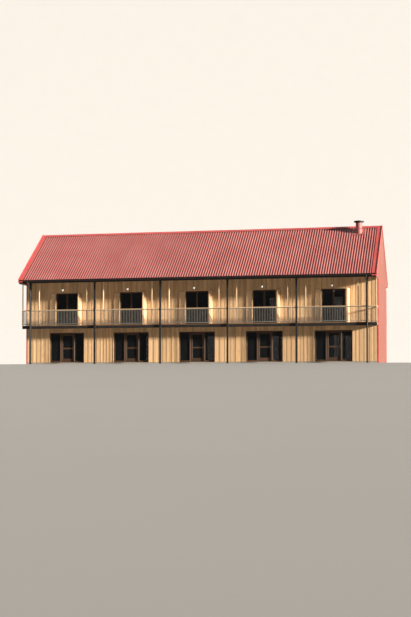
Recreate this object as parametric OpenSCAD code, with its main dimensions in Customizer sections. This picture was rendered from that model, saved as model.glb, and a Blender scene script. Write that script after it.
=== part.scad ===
// Long two-storey timber lodge with a ribbed red gable roof and a gallery along each long side.
// Millimetres. X runs along the building, the front faces -Y, and Z = 0 is the ground.

/* [Plan] */
// Width of one bay, from post line to post line
bay_w = 4800; // [4200:50:5400]
// Number of bays
bay_count = 5; // [3:1:7]
// Wall beyond the last post line at each end
end_w = 650; // [650:10:1000]
// Depth of the walled body, face to face
body_d = 6800; // [5800:50:7800]
// Thickness of the outer walls
wall_t = 240; // [200:5:360]

/* [Storeys] */
// Ground slab, above the ground
slab_h = 150; // [100:10:300]
// Ground storey wall, slab to upper floor
ground_wall_h = 2400; // [2350:10:2900]
// Upper floor
floor_t = 250; // [240:5:350]
// Upper storey wall, floor to the rafters' seat
upper_wall_h = 4120; // [3600:10:4500]

/* [Roof] */
// Pitch of both slopes
roof_pitch = 37.2; // [32:0.1:42]
// Reach of the roof beyond the long walls
eave_reach = 1600; // [1350:10:1900]
// Rafter depth, square to the slope
rafter_d = 180; // [140:5:240]
// Rafter width
rafter_w = 80; // [60:5:120]
// Rafters in each bay
rafters_per_bay = 4; // [3:1:4]
// Thickness of the boards on the rafters
board_t = 22; // [18:1:30]
// Pitch of the sheet's waves
wave_pitch = 177; // [140:1:220]
// Depth of the sheet's waves
wave_d = 51; // [30:1:60]
// Thickness of the roof sheet
sheet_t = 8; // [5:1:12]
// Width of the flashing along the gables
verge_w = 340; // [250:10:450]
// Drop of that flashing down the gable
verge_drop = 180; // [120:10:260]
// Thickness of the flashings
flashing_t = 4; // [3:1:6]
// Width of each wing of the ridge cap
ridge_wing = 260; // [200:10:300]
// Ridge beam width
ridge_t = 60; // [50:5:80]
// Fascia board at the rafter ends
fascia_t = 25; // [20:1:35]
// Outer radius of the gutters
gutter_r = 65; // [55:1:80]

/* [Gable cladding] */
// Pitch of the ribs
rib_pitch = 200; // [150:10:260]
// Depth of the ribs
rib_d = 22; // [15:1:30]
// Thickness of the sheet
clad_t = 8; // [5:1:10]
// Height of its foot above the ground
clad_foot = 60; // [40:5:120]

/* [Galleries] */
// Clear depth from wall to main posts
gallery_d = 890; // [750:10:1000]
// Side of the square main posts
post_s = 120; // [100:5:160]
// Side of the slim posts that flank them in front
slim_s = 60; // [50:5:60]
// Distance of the slim posts from the post line
slim_reach = 620; // [500:10:620]
// Depth of the eave beams at their outer face
beam_h = 260; // [200:10:320]
// Thickness of the deck boards
deck_t = 40; // [30:1:50]
// Depth of the deck joists
joist_d = 160; // [140:5:190]
// Width of the deck joists
joist_w = 60; // [50:5:80]
// Depth of the edge beams
edge_beam_d = 200; // [160:10:240]
// Height of the handrail's top above the deck
guard_h = 1100; // [1000:10:1200]
// Thickness of the guard bars
bar_t = 16; // [12:1:20]
// Clear gap between guard bars, at most
bar_gap = 100; // [80:5:110]
// Height of the guard's top and bottom flats
flat_h = 40; // [30:5:60]
// Gap under the guard
guard_lift = 60; // [40:5:90]
// Height of the timber handrail
handrail_h = 45; // [35:1:60]
// Width of the timber handrail
handrail_w = 90; // [70:5:110]
// Thickness of the rear gallery's end screens
screen_t = 40; // [30:1:60]
// Height of the upper end screens
screen_h = 2700; // [2300:10:2800]

/* [Doors and windows] */
// Width of the upper windows, and of the rear ones below
window_w = 1650; // [1400:10:1800]
// Height of the upper windows
window_h = 2350; // [2000:10:2500]
// Height of all ground floor openings
ground_open_h = 2150; // [2000:10:2200]
// Width of the front ground floor openings
unit_w = 2600; // [2400:10:2800]
// Clear width between a doorway's posts
door_w = 960; // [850:10:1050]
// Width of the frame members
frame_s = 70; // [60:5:90]
// Depth of the door frames
frame_d = 120; // [100:5:150]
// Depth of the window frames
sash_d = 70; // [60:5:90]
// Depth of the reveal in front of the windows
reveal_d = 90; // [60:5:120]
// Meeting stile in the middle of each window
meeting_w = 110; // [90:5:130]
// Thickness of the glass units
glass_t = 24; // [16:1:36]
// Thickness of a door leaf
leaf_t = 54; // [44:1:70]
// Running gap round a door leaf
leaf_gap = 8; // [7:0.5:12]
// Stiles and top rail of a door leaf
stile_w = 110; // [90:5:130]
// Bottom rail of a door leaf
leaf_foot_h = 250; // [180:10:320]
// Height of the middle rail above the leaf's foot
lock_rail_z = 950; // [850:10:1050]
// Height of the middle rail
lock_rail_h = 90; // [70:5:120]
// Threshold height
threshold_h = 25; // [15:1:35]
// Bottom rail under a side light
side_foot_h = 120; // [100:5:250]
// Radius of the hinge knuckles
knuckle_r = 11; // [8:0.5:14]
// Length of one hinge knuckle
knuckle_l = 55; // [40:1:70]
// Width of the hinge flaps
flap_w = 45; // [30:1:60]
// Thickness of the hinge flaps
flap_t = 4; // [3:0.5:6]

/* [Shutters] */
// Thickness of a folded shutter leaf
shutter_t = 30; // [24:1:40]
// Angle at which the folded leaves on the right stand off the wall's normal
shutter_angle = 17; // [12:1:22]
// Gap above and below the shutters
shutter_lift = 20; // [10:1:40]

/* [Flue and lamps] */
// Outer radius of the flue
flue_r = 225; // [180:5:225]
// Wall of the flue
flue_wall = 25; // [15:1:40]
// Distance of the flue in front of the ridge
flue_front = 620; // [600:10:1100]
// Height of the flue above the rafters' apex
flue_above = 250; // [150:10:500]
// Radius of the flue's cap
cap_r = 350; // [300:10:400]
// Height of the cap's hanging rim
cap_rim = 80; // [50:5:100]
// Height of the cap, from the rim's foot to its peak
cap_h = 130; // [110:5:180]
// Gap between the flue and its cap
cap_lift = 50; // [40:5:120]
// Width of the flashing round the flue
collar_w = 820; // [760:10:900]
// Height of the upstand round the flue
upstand_h = 200; // [120:10:260]
// Radius of a lamp's globe
globe_r = 90; // [70:1:120]
// Height of the globe's middle below the eave beam
lamp_drop = 600; // [350:10:700]
// Radius of a lamp's rod
rod_r = 8; // [6:0.5:12]
// Radius of a downpipe
pipe_r = 40; // [35:1:50]

/* [Hidden] */
$fn = 48;
seat = 0.3;
past = 1;
body_l = bay_count * bay_w + 2 * end_w;
half_l = body_l / 2;
half_d = body_d / 2;
inner_d = half_d - wall_t;
floor_z = slab_h + ground_wall_h;
upper_z = floor_z + floor_t;
ground_head_z = slab_h + ground_open_h;
window_head_z = upper_z + window_h;

rafter_v = rafter_d / cos(roof_pitch);
board_v = board_t / cos(roof_pitch);
board_lift = seat / cos(roof_pitch);
apex_z = upper_z + upper_wall_h + rafter_v + half_d * tan(roof_pitch);
eave_y = half_d + eave_reach;
drip = 10;
tail_y = eave_y - fascia_t - gutter_r - drip;
fascia_y = tail_y + fascia_t;
joint_gap = 1;
sheet_z = board_t + 2 * seat;
sheet_top = sheet_z + wave_d + sheet_t;
sheet_len = (eave_y - sheet_top * sin(roof_pitch)) / cos(roof_pitch);
sheet_over = 45;
sheet_half = half_l + sheet_over;
verge_gap = 5;
verge_x = sheet_half + verge_gap + flashing_t;
wave_steps = 6;
wave_count = round(2 * sheet_half / wave_pitch);
wave_w = 2 * sheet_half / wave_count;
rafter_step = bay_w / rafters_per_bay;

post_y = half_d + gallery_d + post_s / 2;
post_in_y = post_y - post_s / 2;
post_out_y = post_y + post_s / 2;
deck_z = upper_z;
joist_z = deck_z - deck_t;
beam_z = apex_z - rafter_v - post_out_y * tan(roof_pitch) - beam_h;
edge_beam_t = joist_w;
guard_top = deck_z + guard_h - handrail_h;
slim_lap = 150;

frame_y = inner_d + frame_d;
side_w = (unit_w - 4 * frame_s - door_w) / 2;
head_z = ground_head_z - frame_s;
leaf_w = door_w - 2 * leaf_gap;
leaf_z = slab_h + threshold_h + leaf_gap;
leaf_h = head_z - leaf_gap - leaf_z;
hinge_out = 3;
axis_y = inner_d - knuckle_r - hinge_out;
hinge_rise = 200;
shutter_l = window_w / 4;
shutter_h = window_h - 2 * shutter_lift;
shutter_start = 10;
flue_share = 0.75;
flue_x = half_l - end_w - flue_share * rafter_step;
flue_top = apex_z + flue_above;
flue_tail = 150;
flue_foot = apex_z - rafter_v - (flue_front + flue_r) * tan(roof_pitch) - flue_tail;
board_hole_r = flue_r + 30;
sheet_hole_r = flue_r + 10;
collar_hole_r = flue_r + 2 * seat;
upstand_r = flue_r + 20;
pipe_wall = 4;
pipe_foot = 120;
pipe_hollow = 200;
neck_drop = 120;
neck_slope = 0.7;
wing_z = apex_z - rafter_v - tail_y * tan(roof_pitch);
gutter_z = apex_z - eave_y * tan(roof_pitch) - drip;

red = [0.66, 0.27, 0.24];
timber = [0.80, 0.58, 0.38];
pale_timber = [0.90, 0.76, 0.58];
dark_metal = [0.17, 0.17, 0.18];
pale_metal = [0.66, 0.66, 0.64];
concrete = [0.62, 0.61, 0.58];
glazing = [0.25, 0.30, 0.34, 0.6];
opal = [0.95, 0.93, 0.88];

function bay_line(i) = -half_l + end_w + i * bay_w;
function bay_mid(i) = bay_line(i) + bay_w / 2;
function rafter_top(y) = apex_z - y * tan(roof_pitch);
function rafter_low(y) = rafter_top(y) - rafter_v;
function sheet_line(y) = rafter_top(y) + (sheet_top + seat) / cos(roof_pitch);
function rafter_places() = concat(
    [-half_l + rafter_w / 2],
    [for (i = [0:bay_count * rafters_per_bay]) bay_line(0) + i * rafter_step],
    [half_l - rafter_w / 2]);
function door_left(i) = bay_mid(i - 1) - door_w / 2;

// A block between two corners
module block(low, high) {
    translate(low) cube(high - low);
}

// The same thing on the front and on the rear
module both_sides() {
    children();
    mirror([0, 1, 0]) children();
}

// The same thing at both ends
module both_ends() {
    children();
    mirror([1, 0, 0]) children();
}

// Children are drawn on the rear and moved to the front
module to_front() {
    mirror([0, 1, 0]) children();
}

// A profile in Y and Z, run along X
module along_x(x0, x1) {
    translate([x0, 0, 0]) rotate([90, 0, 90]) linear_extrude(x1 - x0) children();
}

// A plate of an outline in X and Z, from y0 to y1
module plate_y(y0, y1) {
    translate([0, y1, 0]) rotate([90, 0, 0]) linear_extrude(y1 - y0) children();
}

// Rear slope: Y runs down along it and Z = 0 is the rafters' top
module on_slope() {
    translate([0, 0, apex_z]) rotate([-roof_pitch, 0, 0]) children();
}

// Wall left between openings of one width, on the rear
module wall_stretches(z0, z1, open_w) {
    edges = concat(
        [-half_l],
        [for (i = [0:bay_count - 1]) each [bay_mid(i) - open_w / 2, bay_mid(i) + open_w / 2]],
        [half_l]);
    for (i = [0:bay_count])
        block([edges[2 * i], inner_d, z0], [edges[2 * i + 1], half_d, z1]);
}

// Wall over the openings of both storeys, the upper one shaped round the rafters, on the rear
module wall_bands() {
    block([-half_l, inner_d, ground_head_z], [half_l, half_d, floor_z]);
    difference() {
        along_x(-half_l, half_l) polygon([
            [inner_d, window_head_z], [half_d, window_head_z],
            [half_d, rafter_top(half_d)], [inner_d, rafter_top(inner_d)]]);
        for (x = rafter_places())
            rafter_slot(x);
    }
}

// Slot for a rafter, open at its top
module rafter_slot(x) {
    along_x(x - rafter_w / 2, x + rafter_w / 2) polygon([
        [0, rafter_low(0)], [tail_y, rafter_low(tail_y)],
        [tail_y, rafter_top(tail_y) + rafter_v], [0, rafter_top(0) + rafter_v]]);
}

module rafter_at(x) {
    along_x(x - rafter_w / 2, x + rafter_w / 2) polygon([
        [ridge_t / 2, rafter_low(ridge_t / 2)], [tail_y, rafter_low(tail_y)],
        [tail_y, rafter_top(tail_y)], [ridge_t / 2, rafter_top(ridge_t / 2)]]);
}

module ground_slab() {
    color(concrete) block([-half_l, -half_d, 0], [half_l, half_d, slab_h]);
}

module upper_floor() {
    color(timber) block([-half_l, -half_d, floor_z], [half_l, half_d, upper_z]);
}

module front_piers() {
    color(timber) to_front() {
        wall_stretches(slab_h, ground_head_z, unit_w);
        wall_stretches(upper_z, window_head_z, window_w);
    }
}

module front_bands() {
    color(timber) to_front() wall_bands();
}

module rear_piers() {
    color(timber) {
        wall_stretches(slab_h, ground_head_z, window_w);
        wall_stretches(upper_z, window_head_z, window_w);
    }
}

module rear_bands() {
    color(timber) wall_bands();
}

// Gable wall in two storeys, between the long walls, at the right end
module gable_wall() {
    block([half_l - wall_t, -inner_d, slab_h], [half_l, inner_d, floor_z]);
    along_x(half_l - wall_t, half_l) polygon([
        [-inner_d, upper_z], [inner_d, upper_z], [inner_d, rafter_low(inner_d)],
        [ridge_t / 2, rafter_low(ridge_t / 2)], [-ridge_t / 2, rafter_low(ridge_t / 2)],
        [-inner_d, rafter_low(inner_d)]]);
}

module right_gable_wall() {
    color(timber) gable_wall();
}

module left_gable_wall() {
    color(timber) mirror([1, 0, 0]) gable_wall();
}

// Full-width head of the gable, over the wall and the ends of both galleries
module gable_head_outline() {
    polygon([
        [-fascia_y, wing_z], [fascia_y, wing_z], [fascia_y, rafter_top(fascia_y) + board_v],
        [0, rafter_top(0) + board_v], [-fascia_y, rafter_top(fascia_y) + board_v]]);
}

// Upright ribs over the whole width, seen from above
module rib_profile() {
    valley_end = 0.55;
    crest_start = 0.65;
    crest_end = 0.9;
    crest = clad_t + rib_d;
    ribs = 2 * ceil(fascia_y / rib_pitch);
    y0 = -ribs * rib_pitch / 2;
    outer = [for (i = [0:ribs - 1]) each [
        [clad_t, y0 + i * rib_pitch], [clad_t, y0 + (i + valley_end) * rib_pitch],
        [crest, y0 + (i + crest_start) * rib_pitch], [crest, y0 + (i + crest_end) * rib_pitch]]];
    polygon(concat([[0, y0], [0, -y0], [clad_t, -y0]], [for (i = [len(outer) - 1:-1:0]) outer[i]]));
}

module gable_cladding() {
    color(red) both_ends() intersection() {
        translate([half_l, 0, clad_foot]) linear_extrude(wing_z - clad_foot) rib_profile();
        block([half_l, -half_d, clad_foot], [half_l + clad_t + rib_d, half_d, wing_z]);
    }
}

module gable_heads() {
    color(red) both_ends() intersection() {
        translate([half_l, 0, wing_z]) linear_extrude(apex_z + board_v - wing_z) rib_profile();
        along_x(half_l, half_l + clad_t + rib_d) gable_head_outline();
    }
}

// Waved sheet from one wave to another and between two places down the slope, on the rear
module sheet_stretch(wave0, wave1, u0, u1) {
    inner = [for (i = [floor(wave0 * wave_steps) + 1:ceil(wave1 * wave_steps) - 1]) i / wave_steps];
    rise = [for (wave = concat([wave0], inner, [wave1]))
        [wave * wave_w - sheet_half, wave_d * (1 - cos(360 * wave)) / 2]];
    on_slope() translate([0, u1, sheet_z]) rotate([90, 0, 0]) linear_extrude(u1 - u0)
        polygon(concat(rise, [for (i = [len(rise) - 1:-1:0]) rise[i] + [0, sheet_t]]));
}

// Place down the slope of a point at a distance from the ridge and at a height square to the slope
function slope_place(y, z) = (y - z * sin(roof_pitch)) / cos(roof_pitch);

// Sheets left of the flue, right of it, and above and below it
module front_roof_sheet() {
    first = floor((flue_x - sheet_hole_r + sheet_half) / wave_w);
    last = ceil((flue_x + sheet_hole_r + sheet_half) / wave_w);
    gap = joint_gap / wave_w;
    color(red) to_front() {
        sheet_stretch(0, first, 0, sheet_len);
        sheet_stretch(last, wave_count, 0, sheet_len);
        sheet_stretch(first + gap, last - gap, 0, slope_place(flue_front - sheet_hole_r, sheet_top));
        sheet_stretch(first + gap, last - gap, slope_place(flue_front + sheet_hole_r, sheet_z), sheet_len);
    }
}

module rear_roof_sheet() {
    color(red) sheet_stretch(0, wave_count, 0, sheet_len);
}

// Cap on the flashings along the ridge
module ridge_cap() {
    low = (flashing_t + seat) / cos(roof_pitch);
    high = low + flashing_t / cos(roof_pitch);
    wing = ridge_wing * cos(roof_pitch);
    color(red) along_x(-verge_x, verge_x) polygon([
        [-wing, sheet_line(wing) + low], [0, sheet_line(0) + low], [wing, sheet_line(wing) + low],
        [wing, sheet_line(wing) + high], [0, sheet_line(0) + high], [-wing, sheet_line(wing) + high]]);
}

// Strip of a slope between two heights over the sheet's top
module slope_strip(low, high) {
    polygon([
        [joint_gap / 2, sheet_line(joint_gap / 2) + low], [eave_y, sheet_line(eave_y) + low],
        [eave_y, sheet_line(eave_y) + high], [joint_gap / 2, sheet_line(joint_gap / 2) + high]]);
}

module verge_flashings() {
    flashing_v = flashing_t / cos(roof_pitch);
    color(red) both_ends() both_sides() {
        along_x(verge_x - verge_w, verge_x) slope_strip(0, flashing_v);
        along_x(verge_x - flashing_t, verge_x) slope_strip(-verge_drop, flashing_v);
    }
}

// Roof boards between two places along the building and two distances from the ridge, on the rear
module board_stretch(x0, x1, y0, y1) {
    along_x(x0, x1) polygon([
        [y0, rafter_top(y0) + board_lift], [y1, rafter_top(y1) + board_lift],
        [y1, rafter_top(y1) + board_lift + board_v], [y0, rafter_top(y0) + board_lift + board_v]]);
}

// Boards on the rear, and in front on all four sides of the flue
module roof_boards() {
    low_x = flue_x - board_hole_r;
    high_x = flue_x + board_hole_r;
    color(timber) {
        board_stretch(-half_l, half_l, joint_gap / 2, tail_y);
        to_front() {
            board_stretch(-half_l, low_x - joint_gap, joint_gap / 2, tail_y);
            board_stretch(high_x + joint_gap, half_l, joint_gap / 2, tail_y);
            board_stretch(low_x, high_x, joint_gap / 2, flue_front - board_hole_r);
            board_stretch(low_x, high_x, flue_front + board_hole_r, tail_y);
        }
    }
}

module rafters() {
    color(timber) both_sides() for (x = rafter_places())
        rafter_at(x);
}

module ridge_beam() {
    color(timber) block(
        [-half_l, -ridge_t / 2, rafter_low(ridge_t / 2)], [half_l, ridge_t / 2, rafter_top(ridge_t / 2)]);
}

module fascias() {
    color(dark_metal) both_sides()
        block([-half_l, tail_y, wing_z], [half_l, fascia_y, rafter_top(fascia_y) + board_v / 2]);
}

// Half-round gutter with closed ends, against the fascia
module gutters() {
    wall = 4;
    reach = sheet_half - verge_gap;
    color(dark_metal) both_sides() translate([0, fascia_y + gutter_r + seat, gutter_z]) difference() {
        rotate([0, 90, 0]) cylinder(h = 2 * reach, r = gutter_r, center = true);
        rotate([0, 90, 0]) cylinder(h = 2 * (reach - wall), r = gutter_r - wall, center = true);
        block([-reach - past, -gutter_r - past, 0], [reach + past, gutter_r + past, gutter_r + past]);
    }
}

// Downpipe from the gutter back to the end post and down it, open at its foot
module downpipe() {
    top = [bay_line(bay_count), fascia_y + gutter_r + seat, gutter_z - gutter_r - seat];
    elbow = [top.x, top.y, top.z - neck_drop];
    bend = [top.x, post_out_y + pipe_r + seat, elbow.z - (top.y - post_out_y - pipe_r) * neck_slope];
    run = elbow - bend;
    translate(elbow) cylinder(h = top.z - elbow.z, r = pipe_r);
    translate(elbow) sphere(r = pipe_r);
    translate(bend) rotate([-atan2(run.y, run.z), 0, 0]) cylinder(h = norm(run), r = pipe_r);
    translate(bend) sphere(r = pipe_r);
    difference() {
        translate([bend.x, bend.y, pipe_foot]) cylinder(h = bend.z - pipe_foot, r = pipe_r);
        translate([bend.x, bend.y, pipe_foot - past]) cylinder(h = pipe_hollow, r = pipe_r - pipe_wall);
    }
}

module downpipes() {
    color(dark_metal) both_ends() both_sides() downpipe();
}

module eave_beams() {
    color(timber) both_sides() along_x(-half_l, half_l) polygon([
        [post_in_y, beam_z], [post_out_y, beam_z], [post_out_y, rafter_low(post_out_y)],
        [post_in_y, rafter_low(post_in_y)]]);
}

module main_posts() {
    color(dark_metal) both_sides() for (i = [0:bay_count])
        block([bay_line(i) - post_s / 2, post_in_y, 0], [bay_line(i) + post_s / 2, post_out_y, beam_z]);
}

// Slim posts on the deck's edge, lapped on the eave beam, on the front only
module slim_posts() {
    color(pale_timber) to_front() for (i = [0:bay_count], side = [-1, 1])
        translate([bay_line(i) + side * slim_reach, 0, 0])
            block([-slim_s / 2, post_in_y - slim_s, deck_z], [slim_s / 2, post_in_y, beam_z + slim_lap]);
}

module gallery_decks() {
    color(timber) both_sides() block([-half_l, half_d, joist_z], [half_l, post_in_y, deck_z]);
}

module deck_joists() {
    joist_low = joist_z - joist_d;
    places = concat(
        [-half_l + joist_w / 2],
        [for (i = [0:bay_count * rafters_per_bay]) bay_line(0) + i * rafter_step],
        [half_l - joist_w / 2]);
    color(timber) both_sides() for (x = places)
        block([x - joist_w / 2, half_d, joist_low], [x + joist_w / 2, post_in_y - edge_beam_t, joist_z]);
}

module edge_beams() {
    color(dark_metal) both_sides()
        block([-half_l, post_in_y - edge_beam_t, joist_z - edge_beam_d], [half_l, post_in_y, joist_z]);
}

// Flat outline of a guard panel: two flats with upright bars between them
module guard_outline(w) {
    low = deck_z + guard_lift;
    slots = ceil((w - bar_t) / (bar_t + bar_gap));
    slot_w = (w - bar_t) / slots - bar_t;
    difference() {
        translate([0, low]) square([w, guard_top - low]);
        for (i = [0:slots - 1])
            translate([bar_t + i * (slot_w + bar_t), low + flat_h])
                square([slot_w, guard_top - low - 2 * flat_h]);
    }
}

// A guard panel between two places along the building, on the rear
module guard_panel(x0, x1) {
    translate([x0, 0, 0]) plate_y(post_y - bar_t / 2, post_y + bar_t / 2) guard_outline(x1 - x0);
}

// Panels and end returns in front, panels behind
module gallery_guards() {
    color(pale_metal) {
        both_sides() {
            for (i = [0:bay_count - 1])
                guard_panel(bay_line(i) + post_s / 2, bay_line(i + 1) - post_s / 2);
            both_ends() guard_panel(bay_line(bay_count) + post_s / 2, half_l);
        }
        to_front() both_ends()
            translate([half_l - (slim_s + bar_t) / 2, half_d, 0]) rotate([90, 0, 90])
                linear_extrude(bar_t) guard_outline(gallery_d - slim_s);
    }
}

module handrails() {
    color(pale_timber) {
        both_sides() {
            for (i = [0:bay_count - 1])
                rail_between(bay_line(i) + post_s / 2, bay_line(i + 1) - post_s / 2);
            both_ends() rail_between(bay_line(bay_count) + post_s / 2, half_l);
        }
        to_front() both_ends() block(
            [half_l - slim_s, half_d, guard_top], [half_l, post_in_y - slim_s, guard_top + handrail_h]);
    }
}

module rail_between(x0, x1) {
    block([x0, post_y - handrail_w / 2, guard_top], [x1, post_y + handrail_w / 2, guard_top + handrail_h]);
}

// Closed ends of the rear gallery, one to each storey
module end_screens() {
    color(red) both_ends() {
        block([half_l - screen_t, half_d, 0], [half_l, post_in_y - edge_beam_t, joist_z - joist_d]);
        block([half_l - screen_t, half_d, deck_z], [half_l, post_in_y, deck_z + screen_h]);
    }
}

// Outline of one window: outer frame and meeting stile, round two lights
module window_outline(h) {
    light_w = (window_w - 2 * frame_s - meeting_w) / 2;
    difference() {
        square([window_w, h]);
        for (i = [0, 1])
            translate([frame_s + i * (light_w + meeting_w), frame_s]) square([light_w, h - 2 * frame_s]);
    }
}

// The two panes of one window
module pane_outline(h) {
    light_w = (window_w - 2 * frame_s - meeting_w) / 2;
    for (i = [0, 1])
        translate([frame_s + i * (light_w + meeting_w), frame_s]) square([light_w, h - 2 * frame_s]);
}

// Places every window of one row, on the rear
module window_row(z, depth) {
    y = half_d - reveal_d - sash_d / 2;
    for (i = [0:bay_count - 1])
        translate([bay_mid(i) - window_w / 2, 0, z]) plate_y(y - depth / 2, y + depth / 2) children();
}

module window_frames() {
    color(timber) {
        both_sides() window_row(upper_z, sash_d) window_outline(window_h);
        window_row(slab_h, sash_d) window_outline(ground_open_h);
    }
}

// Panes of all windows, and the side lights beside the doors
module fixed_glass() {
    color(glazing) {
        both_sides() window_row(upper_z, glass_t) pane_outline(window_h);
        window_row(slab_h, glass_t) pane_outline(ground_open_h);
        to_front() for (i = [0:bay_count - 1], side = [-1, 1])
            translate([bay_mid(i) + side * (door_w + 2 * frame_s + side_w) / 2, 0, 0]) block(
                [-side_w / 2, frame_y - frame_d / 2 - glass_t / 2, slab_h + side_foot_h],
                [side_w / 2, frame_y - frame_d / 2 + glass_t / 2, head_z]);
    }
}

// Four upright members in each ground floor opening
module door_posts() {
    places = [(unit_w - frame_s) / 2, (door_w + frame_s) / 2];
    color(timber) to_front() for (i = [0:bay_count - 1], side = [-1, 1], place = places)
        translate([bay_mid(i) + side * place, 0, 0])
            block([-frame_s / 2, inner_d, slab_h], [frame_s / 2, frame_y, head_z]);
}

// Head, threshold and the rails under the side lights
module door_rails() {
    color(timber) to_front() for (i = [0:bay_count - 1]) translate([bay_mid(i), 0, 0]) {
        block([-unit_w / 2, inner_d, head_z], [unit_w / 2, frame_y, ground_head_z]);
        block([-door_w / 2, inner_d, slab_h], [door_w / 2, frame_y, slab_h + threshold_h]);
        for (side = [-1, 1])
            translate([side * (door_w + 2 * frame_s + side_w) / 2, 0, 0])
                block([-side_w / 2, inner_d, slab_h], [side_w / 2, frame_y, slab_h + side_foot_h]);
    }
}

// Heights of the three hinges of a door
function hinge_heights() = [
    leaf_z + hinge_rise, leaf_z + leaf_h / 2, leaf_z + leaf_h - hinge_rise - knuckle_l];

// One half of a hinge: a knuckle on the axis and a flap on the inner face
module hinge_half(side) {
    cylinder(h = knuckle_l, r = knuckle_r);
    block([side > 0 ? 0 : -flap_w, -knuckle_r - hinge_out, 0],
          [side > 0 ? flap_w : 0, flap_t - knuckle_r, knuckle_l]);
}

module hinge_axis(i) {
    translate([door_left(i) + leaf_gap / 2, -axis_y, 0]) children();
}

// Lower halves of the hinges, on the door posts
module door_hinges() {
    color(dark_metal) for (i = [1:bay_count], z = hinge_heights())
        hinge_axis(i) translate([0, 0, z - knuckle_l - seat]) hinge_half(-1);
}

// Glazed door leaf with its hinge halves
module door_leaf(i) {
    x = door_left(i) + leaf_gap;
    color(timber) {
        translate([x, -inner_d - leaf_t, leaf_z]) rotate([90, 0, 0]) mirror([0, 0, 1])
            linear_extrude(leaf_t) difference() {
                square([leaf_w, leaf_h]);
                leaf_panes();
            }
        for (z = hinge_heights())
            hinge_axis(i) translate([0, 0, z]) hinge_half(1);
    }
}

// Outline of the panes in a door leaf
module leaf_panes() {
    translate([stile_w, leaf_foot_h]) square([leaf_w - 2 * stile_w, lock_rail_z - leaf_foot_h]);
    translate([stile_w, lock_rail_z + lock_rail_h])
        square([leaf_w - 2 * stile_w, leaf_h - stile_w - lock_rail_z - lock_rail_h]);
}

module door_glass(i) {
    x = door_left(i) + leaf_gap;
    color(glazing) translate([x, -inner_d - (leaf_t + glass_t) / 2, leaf_z]) rotate([90, 0, 0])
        mirror([0, 0, 1]) linear_extrude(glass_t) leaf_panes();
}

// Folded leaves standing off the wall, from the right edge of a window, on the rear
module standing_pair() {
    fold = shutter_l * sin(shutter_angle);
    translate([shutter_start + shutter_t, half_d + seat, deck_z + shutter_lift]) {
        rotate([0, 0, -shutter_angle]) translate([-shutter_t, 0, 0])
            cube([shutter_t, shutter_l, shutter_h]);
        translate([2 * fold + 2 * seat, 0, 0]) rotate([0, 0, shutter_angle])
            cube([shutter_t, shutter_l, shutter_h]);
    }
}

// Folded leaves laid flat on the wall, from the left edge of a window, on the rear
module flat_pair() {
    translate([-shutter_start - shutter_l, half_d + seat, deck_z + shutter_lift])
        for (y = [0, shutter_t + seat])
            translate([0, y, 0]) cube([shutter_l, shutter_t, shutter_h]);
}

module shutters() {
    color(pale_timber) to_front() for (i = [0:bay_count - 1]) {
        translate([bay_mid(i) + window_w / 2, 0, 0]) standing_pair();
        translate([bay_mid(i) - window_w / 2, 0, 0]) flat_pair();
    }
}

// Globe lamps on rods under the front eave beam
module gallery_lamps() {
    canopy_r = 50;
    canopy_h = 25;
    color(opal) for (i = [0:bay_count - 1])
        translate([bay_mid(i), -post_y, beam_z - lamp_drop]) {
            sphere(r = globe_r);
            cylinder(h = lamp_drop, r = rod_r);
            translate([0, 0, lamp_drop - canopy_h]) cylinder(h = canopy_h, r = canopy_r);
        }
}

module flue() {
    color(red) translate([flue_x, -flue_front, flue_foot]) difference() {
        cylinder(h = flue_top - flue_foot, r = flue_r);
        translate([0, 0, -past]) cylinder(h = flue_top - flue_foot + 2 * past, r = flue_r - flue_wall);
    }
}

// Hood with a hanging rim, on a slotted spigot inside the flue
module flue_cap() {
    cap_t = 6;
    under_z = cap_rim - cap_t;
    peak_r = 40;
    spigot_r = flue_r - flue_wall - seat;
    spigot_in = 110;
    spigot_h = spigot_in + cap_lift + under_z;
    slot_count = 8;
    slot_w = 90;
    slot_edge = 12;
    color(dark_metal) translate([flue_x, -flue_front, flue_top]) {
        translate([0, 0, -spigot_in]) difference() {
            cylinder(h = spigot_h, r = spigot_r);
            translate([0, 0, -past]) cylinder(h = spigot_h + 2 * past, r = spigot_r - cap_t);
            for (i = [0:slot_count / 2 - 1])
                rotate([0, 0, i * 360 / slot_count]) block(
                    [-flue_r, -slot_w / 2, spigot_in + slot_edge],
                    [flue_r, slot_w / 2, spigot_h - slot_edge]);
        }
        translate([0, 0, cap_lift]) rotate_extrude() polygon([
            [cap_r - cap_t, 0], [cap_r, 0], [cap_r, cap_rim], [peak_r, cap_h], [0, cap_h],
            [0, under_z], [cap_r - cap_t, under_z]]);
    }
}

// Flashing on the front slope, with an upstand round the flue
module flue_collar() {
    plate_z = sheet_top + seat;
    plate_y = slope_place(flue_front, plate_z);
    color(red) to_front() difference() {
        union() {
            on_slope() translate([flue_x, plate_y, plate_z])
                block([-collar_w / 2, -collar_w / 2, 0], [collar_w / 2, collar_w / 2, flashing_t]);
            intersection() {
                translate([flue_x, flue_front, 0])
                    cylinder(h = sheet_line(flue_front) + upstand_h, r = upstand_r);
                on_slope() translate([flue_x, plate_y, plate_z])
                    block([-collar_w, -collar_w, 0], [collar_w, collar_w, 2 * collar_w]);
            }
        }
        translate([flue_x, flue_front, 0]) cylinder(h = flue_top, r = collar_hole_r);
    }
}

ground_slab();
upper_floor();
front_piers();
front_bands();
rear_piers();
rear_bands();
left_gable_wall();
right_gable_wall();
gable_cladding();
gable_heads();
front_roof_sheet();
rear_roof_sheet();
ridge_cap();
verge_flashings();
roof_boards();
rafters();
ridge_beam();
fascias();
gutters();
downpipes();
eave_beams();
main_posts();
slim_posts();
gallery_decks();
deck_joists();
edge_beams();
gallery_guards();
handrails();
end_screens();
window_frames();
fixed_glass();
door_posts();
door_rails();
door_hinges();
shutters();
gallery_lamps();
flue();
flue_cap();
flue_collar();
for (i = [1:bay_count]) {
    door_leaf(i);
    door_glass(i);
}
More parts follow.
